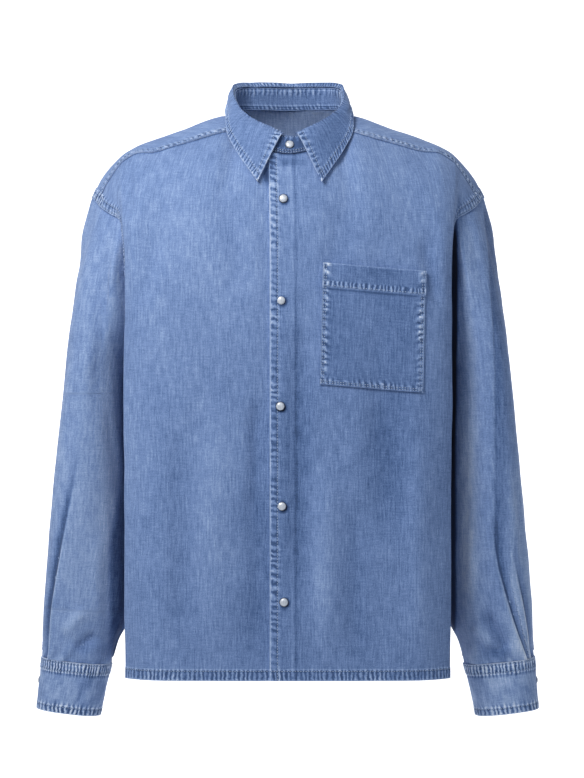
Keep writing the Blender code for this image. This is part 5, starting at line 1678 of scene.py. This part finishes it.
def placket(side, seed):
    levels = np.linspace(PLACKET_FOOT_Z, PLACKET_FOOT_Z + PLACKET_LENGTH, 9)
    half_turn = math.degrees(PLACKET_WIDTH / 2 / PLACKET_ARM_RADIUS)
    grid = ring(SLEEVE_SECTIONS, levels, CUFF_OPENING + np.linspace(-half_turn, half_turn, 5))
    grid = on_side(grid + face_normals(grid) * (PLACKET_GAP + WALL), side)
    cloth = Cloth("sleeve_placket_" + side, grid, -1 if side == "right" else 1, row_step=0.0016,
                  col_step=0.0013, rows="lowhigh", cols="startend", band=0.004)
    for index, edge in enumerate(("start", "end", "high")):
        sew(cloth, edge, "placket", seed + index)
    return cloth


# ---- studio -----------------------------------------------------------------------------
GLOW_NEAR, GLOW_FAR = 0.15, 0.85  # the floor's own light in front of the shirt and behind it
FLOOR_Z = -2.30
WALL_Y = 3.2
BEND_RADIUS = 1.6             # where the floor turns up into the wall
WORLD_LIGHT = 0.30


def studio():
    """A pale floor that bends up into a wall, with more light of its own behind the shirt."""
    arc = [(WALL_Y + BEND_RADIUS * math.sin(a), FLOOR_Z + BEND_RADIUS * (1 - math.cos(a)))
           for a in np.linspace(0.0, math.pi / 2, 17)]
    profile = [(-6.0, FLOOR_Z)] + arc + [(WALL_Y + BEND_RADIUS, 7.0)]
    verts = [(x, y, z) for x in (-9.0, 9.0) for y, z in profile]
    count = len(profile)
    faces = [(k, k + count, k + count + 1, k + 1) for k in range(count - 1)]
    g = Graph("pale_floor")
    place = g.node("ShaderNodeNewGeometry").outputs["Position"]
    tone = g.total(0.5, (g.noise(place, (0.9, 0.9)), 0.004))
    g.shade("Base Color", g.ramp(tone, ((0.0, (0.86, 0.86, 0.86)), (1.0, (0.92, 0.92, 0.92)))))
    g.shade("Roughness", 0.9)
    g.shade("Emission Color", (1.0, 1.0, 1.0, 1.0))
    depth = g.node("ShaderNodeSeparateXYZ")
    g.put(depth.inputs[0], place)
    behind = g.math("MAXIMUM", g.math("DIVIDE", depth.outputs[1], 2.2), 0.0)
    behind = g.math("SMOOTH_MIN", behind, 1.0, 0.3)
    g.shade("Emission Strength", g.total(GLOW_NEAR, (behind, GLOW_FAR - GLOW_NEAR)))
    mesh_object("studio_floor", np.array(verts), faces, g.material)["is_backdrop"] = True


def lights():
    """Soft light from the upper left, a weaker one from the front, and the sky."""
    area_light("key", (-0.86, -1.32, 0.95), (-0.05, 0.0, -0.25), 0.7, 33.0, (1.0, 0.97, 0.92))
    area_light("fill", (0.5, -2.6, 1.1), (0.0, 0.0, -0.35), 2.0, 6.0, (0.90, 0.95, 1.0))
    world = bpy.data.worlds.new("soft_world")
    world.use_nodes = True
    world.node_tree.nodes["Background"].inputs[0].default_value = (0.82, 0.91, 1.0, 1.0)
    world.node_tree.nodes["Background"].inputs[1].default_value = WORLD_LIGHT
    bpy.context.scene.world = world


def area_light(name, place, target, size, power, colour):
    light = bpy.data.lights.new(name, "AREA")
    light.size = size
    light.energy = power
    light.color = colour
    lamp = bpy.data.objects.new(name, light)
    lamp.location = place
    lamp.rotation_euler = (Vector(target) - Vector(place)).to_track_quat("-Z", "Y").to_euler()
    bpy.context.scene.collection.objects.link(lamp)


CAMERA_PLACE = (0.0052, -3.25, -0.3546)
CAMERA_LENS = 117.5


def camera():
    data = bpy.data.cameras.new("camera")
    data.lens = CAMERA_LENS
    data.sensor_width = 36.0
    eye = bpy.data.objects.new("camera", data)
    eye.location = CAMERA_PLACE
    eye.rotation_euler = (math.pi / 2, 0.0, 0.0)
    bpy.context.scene.collection.objects.link(eye)
    bpy.context.scene.camera = eye


def dress():
    denim, thread = denim_material(), thread_material()
    cap = metal_material("snap_pearl", (0.52, 0.56, 0.64), (0.80, 0.84, 0.93), 0.28, 0.35)
    # Near black: painted shadow round each snap's cap.
    ring_shade = metal_material("snap_ring", (0.015, 0.018, 0.028), (0.07, 0.08, 0.10), 0.45, 0.35)
    left, right = fronts()
    stand = stand_piece()
    pieces = [left, right, back_panel(), yoke_panel(), stand, leaf_piece(),
              sleeve("left", PLEATS_LEFT, SLEEVE_LEFT_FOLDS, 0.45, 121),
              sleeve("right", PLEATS_RIGHT, SLEEVE_RIGHT_FOLDS, 1.00, 131),
              cuff("left", 0.28, 0.0050, 141), cuff("right", 0.12, 0.0042, 151),
              placket("left", 161), placket("right", 171), pocket(left)]
    for cloth in pieces:
        piece = shell(cloth, denim, relief_inside=cloth is stand)
        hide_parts(cloth.name)
        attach(piece, "root")
        seams = stitched(cloth, thread)
        if seams:
            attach(seams, "root")

    plain_front = front_grid(False)
    for index, (x, z) in enumerate(SNAP_PLACES):
        centre, normal = lying_on(plain_front, x, z)
        snap(f"snap_front_{index + 1}", centre, normal, cap, ring_shade)
    snap("snap_collar", *collar_snap_place(), cap, ring_shade)
    centre, normal = cuff_snap_place()
    snap("snap_cuff_left", centre, normal, cap, ring_shade)
    snap("snap_cuff_right", mirrored(centre), mirrored(normal), cap, ring_shade)


def corners(box):
    return [list(corner) for corner in box]


dress()
studio()
lights()
camera()
bpy.context.scene.view_settings.view_transform = "Standard"
{"cad": corners(CAD_BOX), "visual": corners(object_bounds())}
